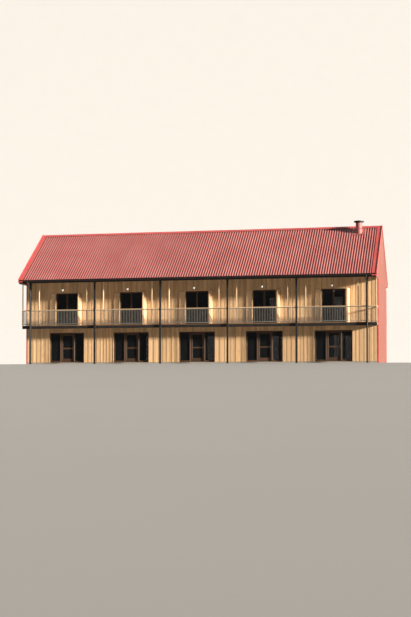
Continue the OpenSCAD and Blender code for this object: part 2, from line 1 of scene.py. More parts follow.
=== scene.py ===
import bmesh
import bpy
import math
import random
import numpy as np
from itertools import pairwise, product
from mathutils import Matrix, Vector


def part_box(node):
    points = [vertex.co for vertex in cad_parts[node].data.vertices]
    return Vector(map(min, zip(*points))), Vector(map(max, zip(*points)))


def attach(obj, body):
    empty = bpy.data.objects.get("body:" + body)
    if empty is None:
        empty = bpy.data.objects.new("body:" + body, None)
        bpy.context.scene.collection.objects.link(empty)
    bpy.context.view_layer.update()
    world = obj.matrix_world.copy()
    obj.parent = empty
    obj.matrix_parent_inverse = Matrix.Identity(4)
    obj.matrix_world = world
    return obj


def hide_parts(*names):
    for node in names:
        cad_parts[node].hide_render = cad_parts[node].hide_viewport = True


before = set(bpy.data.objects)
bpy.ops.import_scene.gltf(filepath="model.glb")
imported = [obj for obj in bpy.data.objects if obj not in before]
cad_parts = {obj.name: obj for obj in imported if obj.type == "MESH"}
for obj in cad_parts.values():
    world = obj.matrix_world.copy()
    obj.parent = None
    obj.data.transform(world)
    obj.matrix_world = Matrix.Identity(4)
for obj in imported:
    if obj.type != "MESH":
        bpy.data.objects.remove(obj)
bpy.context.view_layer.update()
longSides = {"front": -1, "rear": 1}


# Places taken from the frame, in metres
def span(node, axis):
    low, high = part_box(node)
    return low[axis], high[axis]


halfLength = span("ground_slab", 0)[1]
wallFace = span("ground_slab", 1)[1]
wallInner = -span("front_piers", 1)[1]
slabTop = span("ground_slab", 2)[1]
floorLow, floorTop = span("upper_floor", 2)
groundHead = span("front_bands", 2)[0]
windowHead = span("window_frames", 2)[1]
postOut = span("main_posts", 1)[1]
beamLow = span("main_posts", 2)[1]
deckLow = span("gallery_decks", 2)[0]
eaveLine = span("verge_flashings", 1)[1]
vergeOut = span("verge_flashings", 0)[1]
tailLine = span("rafters", 1)[1]
fasciaLine = span("fascias", 1)[1]
gutterTop = span("gutters", 2)[1]
railLow, railTop = span("handrails", 2)

bays = {"count": 5, "width": 4.8, "window": 1.65, "unit": 2.6, "door": 0.96, "rafters": 4, "post": 0.12}
bayLines = [(i - bays["count"] / 2) * bays["width"] for i in range(bays["count"] + 1)]
bayMids = [line + bays["width"] / 2 for line in bayLines[:-1]]
bayEnds = [-halfLength] + bayLines[1:-1] + [halfLength]
lengthwise = (-halfLength, halfLength)
postInner = postOut - bays["post"]
postMid = (postOut + postInner) / 2

slope = {"pitch": math.radians(37.2), "rafter": 0.18, "rafterWide": 0.08, "board": 0.022, "ridgeBeam": 0.06}
slopeTan, slopeCos, slopeSin = (f(slope["pitch"]) for f in (math.tan, math.cos, math.sin))
apex = span("ridge_beam", 2)[1] + slope["ridgeBeam"] / 2 * slopeTan
rearSlope = Matrix.Translation((0, 0, apex)) @ Matrix.Rotation(-slope["pitch"], 4, "X")
slopes = {1: rearSlope, -1: Matrix.Rotation(math.pi, 4, "Z") @ rearSlope}


def rafterTop(y):
    return apex - abs(y) * slopeTan


def rafterLow(y):
    return rafterTop(y) - slope["rafter"] / slopeCos


# How far down the slope a point lies that is y out and up above the rafters
def downSlope(y, up=0.0):
    return (y - up * slopeSin) / slopeCos


# Two places on one side of the middle, the lower one first
def across(side, near, far):
    return sorted((side * near, side * far))


# Rafters and joists stand on the bay lines, between them, and flush with the gables
def crossPlaces(wide):
    step = bays["width"] / bays["rafters"]
    inner = [bayLines[0] + i * step for i in range(bays["count"] * bays["rafters"] + 1)]
    return [-halfLength + wide / 2] + inner + [halfLength - wide / 2]


rafterPlaces = crossPlaces(slope["rafterWide"])


# Shader nodes written as sums
class Wire:
    def __init__(self, finish, socket):
        self.finish = finish
        self.socket = socket

    def __add__(self, other):
        return self.finish.maths("ADD", self, other)

    def __sub__(self, other):
        return self.finish.maths("SUBTRACT", self, other)

    def __rsub__(self, other):
        return self.finish.maths("SUBTRACT", other, self)

    def __mul__(self, other):
        return self.finish.maths("MULTIPLY", self, other)

    __radd__ = __add__
    __rmul__ = __mul__


class Finish:
    def __init__(self, name, constants=()):
        self.material = bpy.data.materials.new(name)
        self.material.use_nodes = True
        self.tree = self.material.node_tree
        self.shader = self.tree.nodes["Principled BSDF"]
        for key, value in dict(constants).items():
            self.shader.inputs[key].default_value = value

    # Any node, from its type, its settings and the values or links of its sockets
    def node(self, kind, settings, inputs, out=0):
        made = self.tree.nodes.new(kind)
        for key, value in settings.items():
            setattr(made, key, value)
        for key, value in inputs.items():
            self.plug(value, made.inputs[key])
        return Wire(self, made.outputs[out])

    def plug(self, value, socket):
        if isinstance(value, Wire):
            self.tree.links.new(value.socket, socket)
        else:
            socket.default_value = value

    def maths(self, operation, a, b=0.0):
        return self.node("ShaderNodeMath", {"operation": operation}, {0: a, 1: b})

    def vector(self, operation, a, b):
        return self.node("ShaderNodeVectorMath", {"operation": operation}, {0: a, 1: b})

    def scaled(self, colour, amount):
        return self.node("ShaderNodeVectorMath", {"operation": "SCALE"}, {0: colour, "Scale": amount})

    def mix(self, share, a, b):
        return self.node("ShaderNodeMix", {"data_type": "RGBA"}, {0: share, 6: a, 7: b}, 2)

    def place(self):
        return self.node("ShaderNodeTexCoord", {}, {}, "Object")

    def part(self, vector, axis):
        return self.node("ShaderNodeSeparateXYZ", {}, {0: vector}, axis)

    def joined(self, *parts):
        return self.node("ShaderNodeCombineXYZ", {}, dict(enumerate(parts)))

    def value(self, name):
        return self.node("ShaderNodeAttribute", {"attribute_name": name}, {}, "Fac")

    def noise(self, place, scale, detail=2.0, rough=0.5):
        inputs = {"Vector": place, "Scale": scale, "Detail": detail, "Roughness": rough}
        return self.node("ShaderNodeTexNoise", {}, inputs)

    def cells(self, place, scale, out="Distance"):
        return self.node("ShaderNodeTexVoronoi", {}, {"Vector": place, "Scale": scale}, out)

    # From 0 at the first number to 1 at the second, with soft ends
    def band(self, value, start, end):
        inputs = {0: value, 1: start, 2: end}
        return self.node("ShaderNodeMapRange", {"interpolation_type": "SMOOTHSTEP"}, inputs)

    def bump(self, height, depth, strength):
        return self.node("ShaderNodeBump", {}, {"Height": height, "Distance": depth, "Strength": strength})

    def feed(self, links):
        for key, value in links.items():
            self.plug(value, self.shader.inputs[key])
        return self.material


def paint(red, green, blue):
    parts = [c / 255 for c in (red, green, blue)]
    return (*[c / 12.92 if c <= 0.04 else ((c + 0.055) / 1.055) ** 2.4 for c in parts], 1.0)


# Wood: pale and deep tints, grain along one axis; each board is shifted and toned by its own value, and
# the frame's own timbers by the cell of space they lie in. In these dictionaries three numbers are the
# scale, detail and roughness of a noise, and two are a band
timber = {"shift": (37.0, 91.0, 53.0), "stretch": 0.045, "figure": (6.0, 1.0, 0.4), "rings": 62.0,
          "fine": (85.0, 3.0, 0.62), "blotch": (0.55, 4.0, 0.6), "worn": (0.38, 0.68), "knots": 2.3,
          "knotStretch": 0.45, "knot": (0.075, 0.03), "knotDark": 0.35, "spread": 0.42,
          "relief": (0.0009, 0.7)}


def timberFinish(name, tints, axis, weather, own=True, cells=(0.83, 0.7, 0.4), rough=0.58):
    def along(amount):
        return [amount if i == axis else 1.0 for i in range(3)]
    fresh, deep, grey = tints
    f = Finish(name, {"IOR": 1.5})
    place = f.place()
    if own:
        tone = f.value("tone")
    else:
        cell = f.vector("FLOOR", f.vector("MULTIPLY", place, cells), (0, 0, 0))
        tone = f.node("ShaderNodeTexWhiteNoise", {}, {"Vector": cell})
    moved = f.vector("ADD", place, f.joined(*[tone * shift for shift in timber["shift"]]))
    run = f.vector("MULTIPLY", moved, along(timber["stretch"]))
    rings = f.maths("SINE", f.noise(run, *timber["figure"]) * timber["rings"]) * 0.5 + 0.5
    fine = f.noise(run, *timber["fine"])
    knots = f.cells(f.vector("MULTIPLY", moved, along(timber["knotStretch"])), timber["knots"])
    knot = f.band(knots, *timber["knot"])
    worn = f.band(f.noise(place, *timber["blotch"]) * 0.6 + fine * 0.4, *timber["worn"]) * weather
    wood = f.mix(rings * 0.32 + fine * 0.5, fresh, deep)
    wood = f.mix(knot * 0.75, wood, [c * timber["knotDark"] for c in deep[:3]] + [1])
    wood = f.mix(worn, wood, grey)
    wood = f.scaled(wood, tone * timber["spread"] + (1.0 - timber["spread"] / 2))
    return f.feed({
        "Base Color": wood,
        "Roughness": fine * 0.25 + rough,
        "Normal": f.bump(rings * 0.35 + fine * 0.65 - knot * 0.5, *timber["relief"]),
    })


# Coated sheet: sun-faded in patches, with run-off streaks of grime, and painted shade that darkens the wave
# valleys
coating = {"shift": (7.0, 3.0), "streaks": (1.0, 5.0, 0.62), "patch": (0.45, 4.0, 0.55),
           "dust": (60.0, 2.0, 0.6), "sun": (0.36, 0.66), "dirtAndValleyShade": (0.50, 0.74), "fade": 0.38, "spread": 0.12,
           "relief": (0.0006, 0.5)}


def coatedFinish(name, fresh, faded, grimeAndShade, streak, rough=0.46, valleyShade=0.55):
    f = Finish(name, {"IOR": 1.5})
    place = f.place()
    tone = f.value("tone")
    valley = f.value("valley")
    apart = f.joined(*[tone * shift for shift in coating["shift"]], 0.0)
    streaks = f.noise(f.vector("ADD", f.vector("MULTIPLY", place, streak), apart), *coating["streaks"])
    dust = f.noise(place, *coating["dust"])
    sun = f.band(f.noise(place, *coating["patch"]) * 0.6 + streaks * 0.4, *coating["sun"])
    coat = f.mix(sun * coating["fade"], fresh, faded)
    # The streaks are real run-off grime; the valley term is painted shade in the hollows of the waves
    dirtAndValleyShade = f.band(streaks, *coating["dirtAndValleyShade"]) * 0.35 + valley * valley * valleyShade
    coat = f.mix(dirtAndValleyShade * (dust * 0.5 + 0.6), coat, grimeAndShade)
    coat = f.scaled(coat, tone * coating["spread"] + (1.0 - coating["spread"] / 2))
    return f.feed({
        "Base Color": coat,
        "Roughness": dirtAndValleyShade * 0.22 + streaks * 0.12 + rough,
        "Normal": f.bump(dust * 0.5 + streaks * 0.5, *coating["relief"]),
    })


# Steel: clouded, with a fine grain; zinc also has its crystals
steel = {"cloud": (3.2, 5.0, 0.6), "grain": (140.0, 2.0, 0.6), "dusty": (0.42, 0.72), "crystals": 38.0,
         "relief": (0.0004, 0.5)}


def steelFinish(name, tint, dusty, metal, rough, spangle=0.0):
    f = Finish(name, {"Metallic": metal})
    place = f.place()
    cloud = f.noise(place, *steel["cloud"])
    grain = f.noise(place, *steel["grain"])
    flake = f.part(f.cells(place, steel["crystals"], "Color"), 0) * spangle
    return f.feed({
        "Base Color": f.mix(f.band(cloud, *steel["dusty"]) * 0.6 + flake, tint, dusty),
        "Roughness": cloud * 0.2 + flake * 0.3 + rough,
        "Normal": f.bump(grain * 0.7 + flake, *steel["relief"]),
    })


# Concrete: sandy, pitted, damp at its foot
concrete = {"cloud": (0.9, 6.0, 0.6), "sand": (55.0, 4.0, 0.7), "pits": 42.0, "pit": (0.16, 0.08),
            "pitted": (0.5, 0.6), "damp": (0.13, 0.03), "relief": (0.002, 0.6)}


def slabFinish(name):
    f = Finish(name, {"IOR": 1.5})
    place = f.place()
    cloud = f.noise(place, *concrete["cloud"])
    sand = f.noise(place, *concrete["sand"])
    pit = f.band(f.cells(place, concrete["pits"]), *concrete["pit"]) * f.band(sand, *concrete["pitted"])
    damp = f.band(f.part(place, 2) + cloud * 0.12, *concrete["damp"])
    colour = f.mix(cloud, paint(150, 146, 138), paint(181, 178, 170))
    layers = [(sand * 0.35, (120, 115, 107)), (damp * 0.55, (86, 82, 74)), (pit * 0.6, (70, 68, 64))]
    for share, tint in layers:
        colour = f.mix(share, colour, paint(*tint))
    return f.feed({
        "Base Color": colour,
        "Roughness": sand * 0.2 + 0.72,
        "Normal": f.bump(sand * 0.6 - pit, *concrete["relief"]),
    })


# Window glass: a slight wave, and a film of dust; its near-black tint is painted shade for the unlit rooms
# behind the panes
pane = {"wave": (1.7, 2.0, 0.4), "film": (9.0, 5.0, 0.65), "dusty": (0.5, 0.8), "dull": (0.4, 0.8),
        "relief": (0.004, 0.12)}


def glassFinish(name, tint, opacity):
    f = Finish(name, {"IOR": 1.5, "Alpha": opacity})
    place = f.place()
    film = f.noise(place, *pane["film"])
    return f.feed({
        "Base Color": f.mix(f.band(film, *pane["dusty"]) * 0.3, tint, paint(92, 96, 94)),
        "Roughness": f.band(film, *pane["dull"]) * 0.12 + 0.03,
        "Normal": f.bump(f.noise(place, *pane["wave"]), *pane["relief"]),
    })


# A plain surface, clouded between two tints
def cloudyFinish(name, tints, cloud, rough, grain=None, relief=None, share=None, constants=()):
    f = Finish(name, constants)
    place = f.place()
    patch = f.noise(place, *cloud)
    fine = f.noise(place, *grain) if grain else patch
    colour = f.mix(patch * share if share else patch, *tints)
    links = {"Base Color": colour, "Roughness": fine * rough[0] + rough[1]}
    if relief:
        links["Normal"] = f.bump(fine, *relief)
    if "Emission Strength" in constants:
        links["Emission Color"] = colour
    return f.feed(links)


honey = (paint(240, 204, 156), paint(196, 148, 98), paint(186, 172, 150))
pale = (paint(242, 212, 170), paint(208, 166, 120), paint(196, 184, 166))
sawn = (paint(176, 132, 88), paint(118, 80, 50), paint(120, 108, 94))
# The darkest tints, used on the window and door frames
darkFrameTints = (paint(92, 66, 46), paint(58, 40, 28), paint(84, 72, 60))
# Dark red: run-off grime on the sheets, and painted shade in the roof's wave valleys
grimeAndShade = paint(96, 50, 47)
roofRed = (paint(167, 93, 90), paint(190, 134, 130), grimeAndShade)
gableRed = (paint(126, 67, 55), paint(141, 90, 75), grimeAndShade)
trimRed = (paint(200, 78, 75), paint(208, 104, 99), grimeAndShade)
opal = (paint(196, 193, 186), paint(168, 164, 156))
plaster = (paint(176, 168, 152), paint(196, 189, 174))
tar = (paint(26, 25, 24), paint(44, 41, 38))
downWall = (4.0, 4.0, 0.16)
downSheet = (5.0, 0.16, 1.0)

finishes = {
    "wallBoards": timberFinish("wall boards", honey, 2, 0.22),
    "wallRails": timberFinish("wall rails", honey, 0, 0.22),
    "reveals": timberFinish("reveal boards", honey, 2, 0.10),
    "palePosts": timberFinish("pale posts", pale, 2, 0.20),
    "paleRails": timberFinish("pale rails", pale, 0, 0.25),
    "deckBoards": timberFinish("deck boards", sawn, 0, 0.55),
    "joists": timberFinish("joists", sawn, 1, 0.15),
    "soffit": timberFinish("soffit boards", sawn, 0, 0.10),
    "rafters": timberFinish("rafters", sawn, 1, 0.12, own=False),
    "beams": timberFinish("laminated beams", sawn, 0, 0.15, own=False, cells=(0.0, 0.3, 25.0)),
    "framesUpright": timberFinish("window stiles", darkFrameTints, 2, 0.10, rough=0.42),
    "framesLevel": timberFinish("window rails", darkFrameTints, 0, 0.10, rough=0.42),
    "roofSheet": coatedFinish("roof sheet", *roofRed, downSheet),
    "gableSheet": coatedFinish("gable sheet", *gableRed, downWall, 0.62, 0.35),
    "flueSheet": coatedFinish("flue sheet", *roofRed, downWall, 0.5, 0.35),
    "trim": coatedFinish("red trim", *trimRed, (0.6, 2.0, 2.0), 0.42),
    "darkSteel": steelFinish("dark steel", paint(40, 39, 40), paint(60, 57, 54), 0.35, 0.44),
    "zinc": steelFinish("galvanised steel", paint(168, 168, 162), paint(196, 194, 186), 0.75, 0.34, 0.35),
    "handle": steelFinish("brushed handle", paint(150, 148, 142), paint(176, 173, 166), 0.9, 0.26),
    "slab": slabFinish("concrete"),
    # The glass tint is painted shade: near black and mostly opaque, standing in for dark rooms
    "glass": glassFinish("window glass with painted room shade", paint(24, 27, 28), 0.62),
    "lamp": cloudyFinish("opal glass", opal, (12.0, 3.0, 0.5), (0.15, 0.16), share=0.5,
                         constants={"IOR": 1.45, "Emission Strength": 0.04}),
    "lining": cloudyFinish("plaster lining", plaster, (1.3, 4.0, 0.6), (0.15, 0.75), (180.0, 2.0, 0.6),
                           (0.0006, 0.4)),
    "foil": cloudyFinish("wall foil", tar, (7.0, 4.0, 0.6), (0.2, 0.6), relief=(0.003, 0.5)),
}
print("finishes made:", len(finishes))


# The points and faces of a block with cut edges; every corner has one point on each of its three sides
def cutBlock():
    corners = np.repeat(np.array(list(product((-1.0, 1.0), repeat=3))), 3, axis=0)
    onSide = np.tile(np.eye(3), (8, 1))
    trial = [Vector(p) for p in corners * (0.8 + 0.2 * onSide)]
    faces = []
    for way in product((-1, 0, 1), repeat=3):
        if any(way):
            out = Vector(way)
            u = out.orthogonal()
            v = out.cross(u)
            reach = max(p.dot(out) for p in trial) - 0.01
            ring = [i for i, p in enumerate(trial) if p.dot(out) > reach]
            faces.append(sorted(ring, key=lambda i: math.atan2(trial[i].dot(v), trial[i].dot(u))))
    return corners, onSide, faces


# The outline of a round collar with soft edges
def collarLine(inner, outer, low, tall, soft):
    return [(inner, low), (outer, low + soft), (outer, low + tall - soft), (inner, low + tall)]


# Faces between rings of points, and one over each end
def ringFaces(rings, sides):
    faces = []
    for low in range(0, (rings - 1) * sides, sides):
        for i in range(sides):
            j = (i + 1) % sides
            faces.append([low + i, low + j, low + sides + j, low + sides + i])
    return faces + [list(range(sides))[::-1], list(range((rings - 1) * sides, rings * sides))]


barCorners, barOnSide, barFaces = cutBlock()

# Turns for round parts that point up, or to the front and rear
standing = Matrix.Identity(4)
towards = {side: Matrix.Rotation(-side * math.pi / 2, 4, "X") for side in (-1, 1)}

# Heads of bolts and screws: a thin washer under a six-sided block
washer = {"edge": 0.0015, "thick": 0.0022, "bevel": 0.9, "sides": 10, "base": 0.002}
nut = {"straight": 0.7, "top": 0.75, "sides": 6}


# Points and faces gathered for one piece; each part has a tone, drawn where none is given
class Shape:
    def __init__(self, seed=1):
        self.points = []
        self.faces = []
        self.tones = []
        self.valleys = []
        self.count = 0
        self.dice = random.Random(seed)

    def add(self, points, faces, tone=None, turn=None, valley=None):
        points = np.array(points, float)
        if turn is not None:
            grid = np.array(turn, float)
            points = points @ grid[:3, :3].T + grid[:3, 3]
        tone = self.dice.random() if tone is None else tone
        self.points.append(points)
        self.faces.extend([[i + self.count for i in f] for f in faces])
        self.tones.append(np.full(len(points), tone))
        self.valleys.append(np.zeros(len(points)) if valley is None else valley)
        self.count += len(points)

    # A block from its ranges in X, Y and Z, with its edges cut off
    def bar(self, x, y, z, cut=0.003, tone=None, turn=None):
        low, high = np.sort(np.array([x, y, z], float), axis=1).T
        half = (high - low) / 2
        cut = min(cut, half.min() * 0.6)
        self.add((low + high) / 2 + barCorners * (half - cut * (1.0 - barOnSide)), barFaces, tone, turn)

    # Four bars round an opening: left, right, foot and head, with one width or four
    def ring(self, x, y, z, widths, cut=0.003):
        left, right, foot, head = np.broadcast_to(widths, 4)
        inner = x[0] + left, x[1] - right
        self.bar((x[0], inner[0]), y, z, cut)
        self.bar((inner[1], x[1]), y, z, cut)
        self.bar(inner, y, (z[0], z[0] + foot), cut)
        self.bar(inner, y, (z[1] - head, z[1]), cut)

    # Beads on both faces of a pane in the middle of a frame's depth; the outer ones come first
    def beads(self, x, side, depth, z, glass, size, cut=0.005):
        wide, deep = size
        middle = sum(depth) / 2
        for y in (middle + glass / 2, middle - glass / 2 - deep):
            self.ring(x, across(side, y, y + deep), z, wide, cut)

    # A closed outline, run between two places on an axis
    def run(self, outline, ends, axis=0, tone=None, turn=None):
        points = np.vstack([np.insert(outline, axis, end, axis=1) for end in ends])
        self.add(points, ringFaces(2, len(outline)), tone, turn)

    # Sheet between two lines with as many points, run likewise; its ends are one quad for each stretch
    def between(self, upper, lower, ends, axis=0, tone=None, turn=None, valley=None):
        n = len(upper)
        loop = np.vstack([upper, lower]).astype(float)
        points = np.vstack([np.insert(loop, axis, end, axis=1) for end in ends])
        faces = []
        for a, b in pairwise(range(n)):
            faces += [[a, b, 2 * n + b, 2 * n + a], [n + a, 3 * n + a, 3 * n + b, n + b],
                      [a, n + a, n + b, b], [2 * n + a, 2 * n + b, 3 * n + b, 3 * n + a]]
        faces += [[0, 2 * n, 3 * n, n], [n - 1, 2 * n - 1, 4 * n - 1, 3 * n - 1]]
        self.add(points, faces, tone, turn, valley)

    # A bent strip of sheet from a line in Y and Z, run along X
    def strip(self, line, thick, ends, turn=None):
        line = np.array(line, float)
        step = np.diff(line, axis=0)
        normal = np.stack([-step[:, 1], step[:, 0]], 1) / np.linalg.norm(step, axis=1)[:, None]
        corner = np.vstack([normal[:1], (normal[:-1] + normal[1:]) / 2, normal[-1:]])
        corner = corner / (np.linalg.norm(corner, axis=1)[:, None] ** 2)
        self.between(line, line + corner * thick, ends, turn=turn)

    # A round shape from radii and heights, about an axis through a point
    def lathe(self, outline, at, sides, turn=standing, tone=None):
        rings = len(outline)
        angles = [2 * math.pi * i / sides for i in range(sides)]
        points = [(r * math.cos(a), r * math.sin(a), h) for r, h in outline for a in angles]
        faces = ringFaces(rings, sides)
        if outline[0] == outline[-1]:
            last = (rings - 1) * sides
            faces = [[i % last for i in f] for f in faces[:-2]]
            points = points[:last]
        self.add(points, faces, tone, Matrix.Translation(at) @ turn)

    # A round bar along a line of points
    def tube(self, line, radius, sides):
        line = [Vector(p) for p in line]
        points = []
        side = None
        for i, p in enumerate(line):
            ahead = (line[min(i + 1, len(line) - 1)] - line[max(i - 1, 0)]).normalized()
            side = side or ahead.orthogonal()
            side = (side - ahead * side.dot(ahead)).normalized()
            over = ahead.cross(side)
            for angle in [2 * math.pi * k / sides for k in range(sides)]:
                points.append(p + (side * math.cos(angle) + over * math.sin(angle)) * radius)
        self.add(points, ringFaces(len(line), sides))

    # A bolt or screw head on a washer, from the radius and height of the head and the washer's radius
    def head(self, at, turn, size):
        radius, height, out = size
        low = washer["base"]
        disc = [(out, 0.0), (out, washer["edge"]), (out * washer["bevel"], washer["thick"])]
        self.lathe(disc, at, washer["sides"], turn, 0.5)
        block = [(radius, low), (radius, low + height * nut["straight"]), (radius * nut["top"], low + height)]
        self.lathe(block, at, nut["sides"], turn, 0.5)

    def piece(self, name, finish, slotName, replaced=(), body="building", place=None, smooth=None):
        mesh = bpy.data.meshes.new(name)
        mesh.from_pydata(np.vstack(self.points).tolist(), [], self.faces)
        grid = bmesh.new()
        grid.from_mesh(mesh)
        bmesh.ops.recalc_face_normals(grid, faces=grid.faces)
        grid.to_mesh(mesh)
        grid.free()
        for key, numbers in (("tone", self.tones), ("valley", self.valleys)):
            mesh.attributes.new(key, "FLOAT", "POINT").data.foreach_set("value", np.concatenate(numbers))
        mesh.materials.append(finishes[finish])
        if smooth:
            mesh.shade_smooth()
            mesh.set_sharp_from_angle(angle=math.radians(smooth))
        made = bpy.data.objects.new(name, mesh)
        bpy.context.scene.collection.objects.link(made)
        if place is not None:
            made.matrix_world = place
        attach(made, body)
        if replaced:
            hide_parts(*replaced)


# Walls: upright boards on a core, trims round the openings
cladding = {"thick": 0.022, "step": 0.011, "gap": 0.007, "widths": (0.115, 0.148, 0.19), "spare": 0.06,
            "trim": 0.024, "proud": 0.003, "lining": 0.02, "clear": 0.012, "under": 0.006, "rise": 0.004}
coreFace = wallFace - cladding["thick"] - cladding["step"]


def boardRow(shape, x0, x1, z, side):
    widths = []
    while sum(widths) < x1 - x0 - cladding["spare"]:
        widths.append(shape.dice.choice(cladding["widths"]))
    share = (x1 - x0) / sum(widths)
    gap = cladding["gap"] / 2
    for i, width in enumerate(widths):
        out = wallFace - i % 2 * cladding["step"]
        right = x0 + width * share
        shape.bar((x0 + gap, right - gap), across(side, out - cladding["thick"], out), z)
        x0 = right


def makeWall(name, side):
    boards, core, trims, lining = Shape(3 + side), Shape(), Shape(5 + side), Shape()
    trim, inner = cladding["trim"], wallInner + cladding["lining"]
    reveal = across(side, wallInner, wallFace + cladding["proud"])
    lower = bays["unit"] if side < 0 else bays["window"]
    storeys = [(lower, slabTop, groundHead, deckLow),
               (bays["window"], floorTop, windowHead, rafterLow(wallFace))]

    def fill(a, b, foot, clear, top):
        boardRow(boards, a, b, (foot + clear, top), side)
        z = foot, top + cladding["rise"]
        core.bar((a, b), across(side, inner, coreFace), z, 0)
        lining.bar((a, b), across(side, wallInner, inner), z, 0.001)

    for width, foot, head, top in storeys:
        top -= cladding["under"]
        jambs = [(mid - width / 2, mid + width / 2) for mid in bayMids]
        starts = [-halfLength] + [b + trim for _, b in jambs]
        for a, b in zip(starts, [a - trim for a, _ in jambs] + [halfLength]):
            fill(a, b, foot, cladding["clear"], top)
        for a, b in jambs:
            fill(a - trim, b + trim, head + trim, 0.0, top)
            trims.bar((a - trim, a), reveal, (foot, head + trim))
            trims.bar((b, b + trim), reveal, (foot, head + trim))
            trims.bar((a, b), reveal, (head, head + trim))
    boards.piece(f"{name}_wall_boards", "wallBoards", "wall_timber", (f"{name}_piers", f"{name}_bands"))
    core.piece(f"{name}_wall_core", "foil", "wall_timber")
    trims.piece(f"{name}_opening_trims", "reveals", "wall_timber")
    lining.piece(f"{name}_wall_lining", "lining", "wall_timber")


# Blocking between the rafters over the walls, and the band behind the decks
blocking = {"play": 0.001, "thick": 0.046, "in": 0.004, "bandTone": 0.3}


def makeBlocking():
    shape = Shape(8)
    play, face = blocking["play"], wallFace - blocking["in"]
    gap = slope["rafterWide"] / 2 + play
    z = rafterLow(wallFace) + play, rafterTop(wallFace) - blocking["in"]
    for side in (-1, 1):
        for a, b in pairwise(rafterPlaces):
            if b - a > 3 * gap:
                shape.bar((a + gap, b - gap), across(side, face - blocking["thick"], face), z)
        band = across(side, coreFace, wallFace)
        shape.bar(lengthwise, band, (deckLow, floorTop), 0.002, blocking["bandTone"])
    shape.piece("wall_blocking", "wallRails", "wall_timber")


planks = {"wide": 0.16, "thick": 0.022, "joint": 0.001}


# The upper floor: boards over a plate, with butt joints on the bay lines
def makeFloorBoards():
    shape = Shape(9)
    count = int(2 * coreFace / planks["wide"])
    wide, joint, low = 2 * coreFace / count, planks["joint"], floorTop - planks["thick"]
    for i in range(count):
        y = i * wide - coreFace
        for a, b in pairwise(bayEnds):
            shape.bar((a + joint, b - joint), (y + joint, y + wide - joint), (low, floorTop))
    shape.bar(lengthwise, (-coreFace, coreFace), (floorLow, low - joint), 0.0, 0.5)
    shape.piece("floor_boards", "soffit", "roof_timber", ("upper_floor",))


for name, side in longSides.items():
    makeWall(name, side)
makeBlocking()
makeFloorBoards()
print("walls made")


# Windows: outer frame, two casements with beads and a cover strip, sill and handle
window = {"frame": 0.07, "meeting": 0.11, "outer": 0.034, "depth": 0.07, "reveal": 0.09, "gap": 0.003,
          "shut": 0.002, "back": 0.006, "front": 0.008, "cover": (0.018, 0.010), "bead": (0.014, 0.012),
          "glass": 0.024, "sill": 0.028, "sillEdges": (0.012, 0.004, 0.001), "handle": (0.03, 1.02),
          "rose": ((0.014, 0.0), (0.014, 0.012), (0.009, 0.018)), "grip": (0.009, 0.006, -0.12, 0.01),
          "gripOut": 0.022}
windowRows = [(-1, floorTop, windowHead), (1, floorTop, windowHead), (1, slabTop, groundHead)]


def makeWindows():
    frames, beads, sills, handles = Shape(21), Shape(22), Shape(23), Shape(24)
    far = wallFace - window["reveal"]
    near = far - window["depth"]
    inset, shut = window["outer"] + window["gap"], window["shut"]
    stile, half = window["frame"] - inset, window["meeting"] / 2 - shut
    (coverHalf, coverOut), (back, lip, low) = window["cover"], window["sillEdges"]
    (handleX, handleUp), (gripX, gripY, gripFoot, gripHead) = window["handle"], window["grip"]
    for (side, foot, head), mid in product(windowRows, bayMids):
        a, b = mid - bays["window"] / 2, mid + bays["window"] / 2
        z = foot + inset, head - inset
        light = foot + window["frame"], head - window["frame"]
        frames.ring((a, b), across(side, near, far), (foot, head), window["outer"])
        sash = across(side, near + window["back"], far - window["front"])
        leaves = [((a + inset, mid - shut), stile, half), ((mid + shut, b - inset), half, stile)]
        for x, left, right in leaves:
            frames.ring(x, sash, z, (left, right, stile, stile))
            x = x[0] + left, x[1] - right
            beads.beads(x, side, (near, far), light, window["glass"], window["bead"], 0.004)
        cover = across(side, far - window["front"], far + coverOut)
        frames.bar((mid - coverHalf, mid + coverHalf), cover, z, 0.005)
        out = wallFace + window["sill"]
        outline = [(far, back), (out, lip), (out, low), (far, low)]
        sills.run([(side * y, foot + up) for y, up in outline], (a + 0.001, b - 0.001))
        x, y, z = mid + handleX, side * near, foot + handleUp
        handles.lathe(window["rose"], (x, y, z), 12, towards[-side])
        y -= side * window["gripOut"]
        handles.bar((x - gripX, x + gripX), (y - gripY, y + gripY), (z + gripFoot, z + gripHead), 0.004)
    frames.piece("window_casements", "framesUpright", "frame_timber", ("window_frames",))
    beads.piece("glazing_beads", "framesLevel", "frame_timber")
    sills.piece("window_sills", "zinc", "guard_steel")
    handles.piece("window_handles", "handle", "guard_steel", smooth=40)


# Doorways: frame with side lights, and a leaf with beads, hinge halves and handles on its own body
doorway = {"post": 0.07, "deep": 0.12, "threshold": 0.025, "foot": 0.12, "gap": 0.008, "leaf": 0.054,
           "stile": 0.11, "leafFoot": 0.25, "lock": 0.95, "lockRail": 0.09, "glass": 0.024,
           "bead": (0.014, 0.014), "lightBead": (0.016, 0.014), "cut": 0.004, "drip": (0.05, 0.012, 0.05)}
hinge = {"radius": 0.011, "long": 0.055, "soft": 0.002, "flap": (0.045, 0.004), "clear": 0.003, "inset": 0.2,
         "play": 0.0003}
handle = {"plate": (0.02, 0.008, 0.11), "neck": (0.010, 0.045, 0.03), "cylinder": (0.009, 0.012, -0.07),
          "lever": ((0.004, 0.0, 0.03), (-0.03, 0.003, 0.03), (-0.125, 0.0, 0.028)), "thick": 0.009}
doorHead = groundHead - doorway["post"]


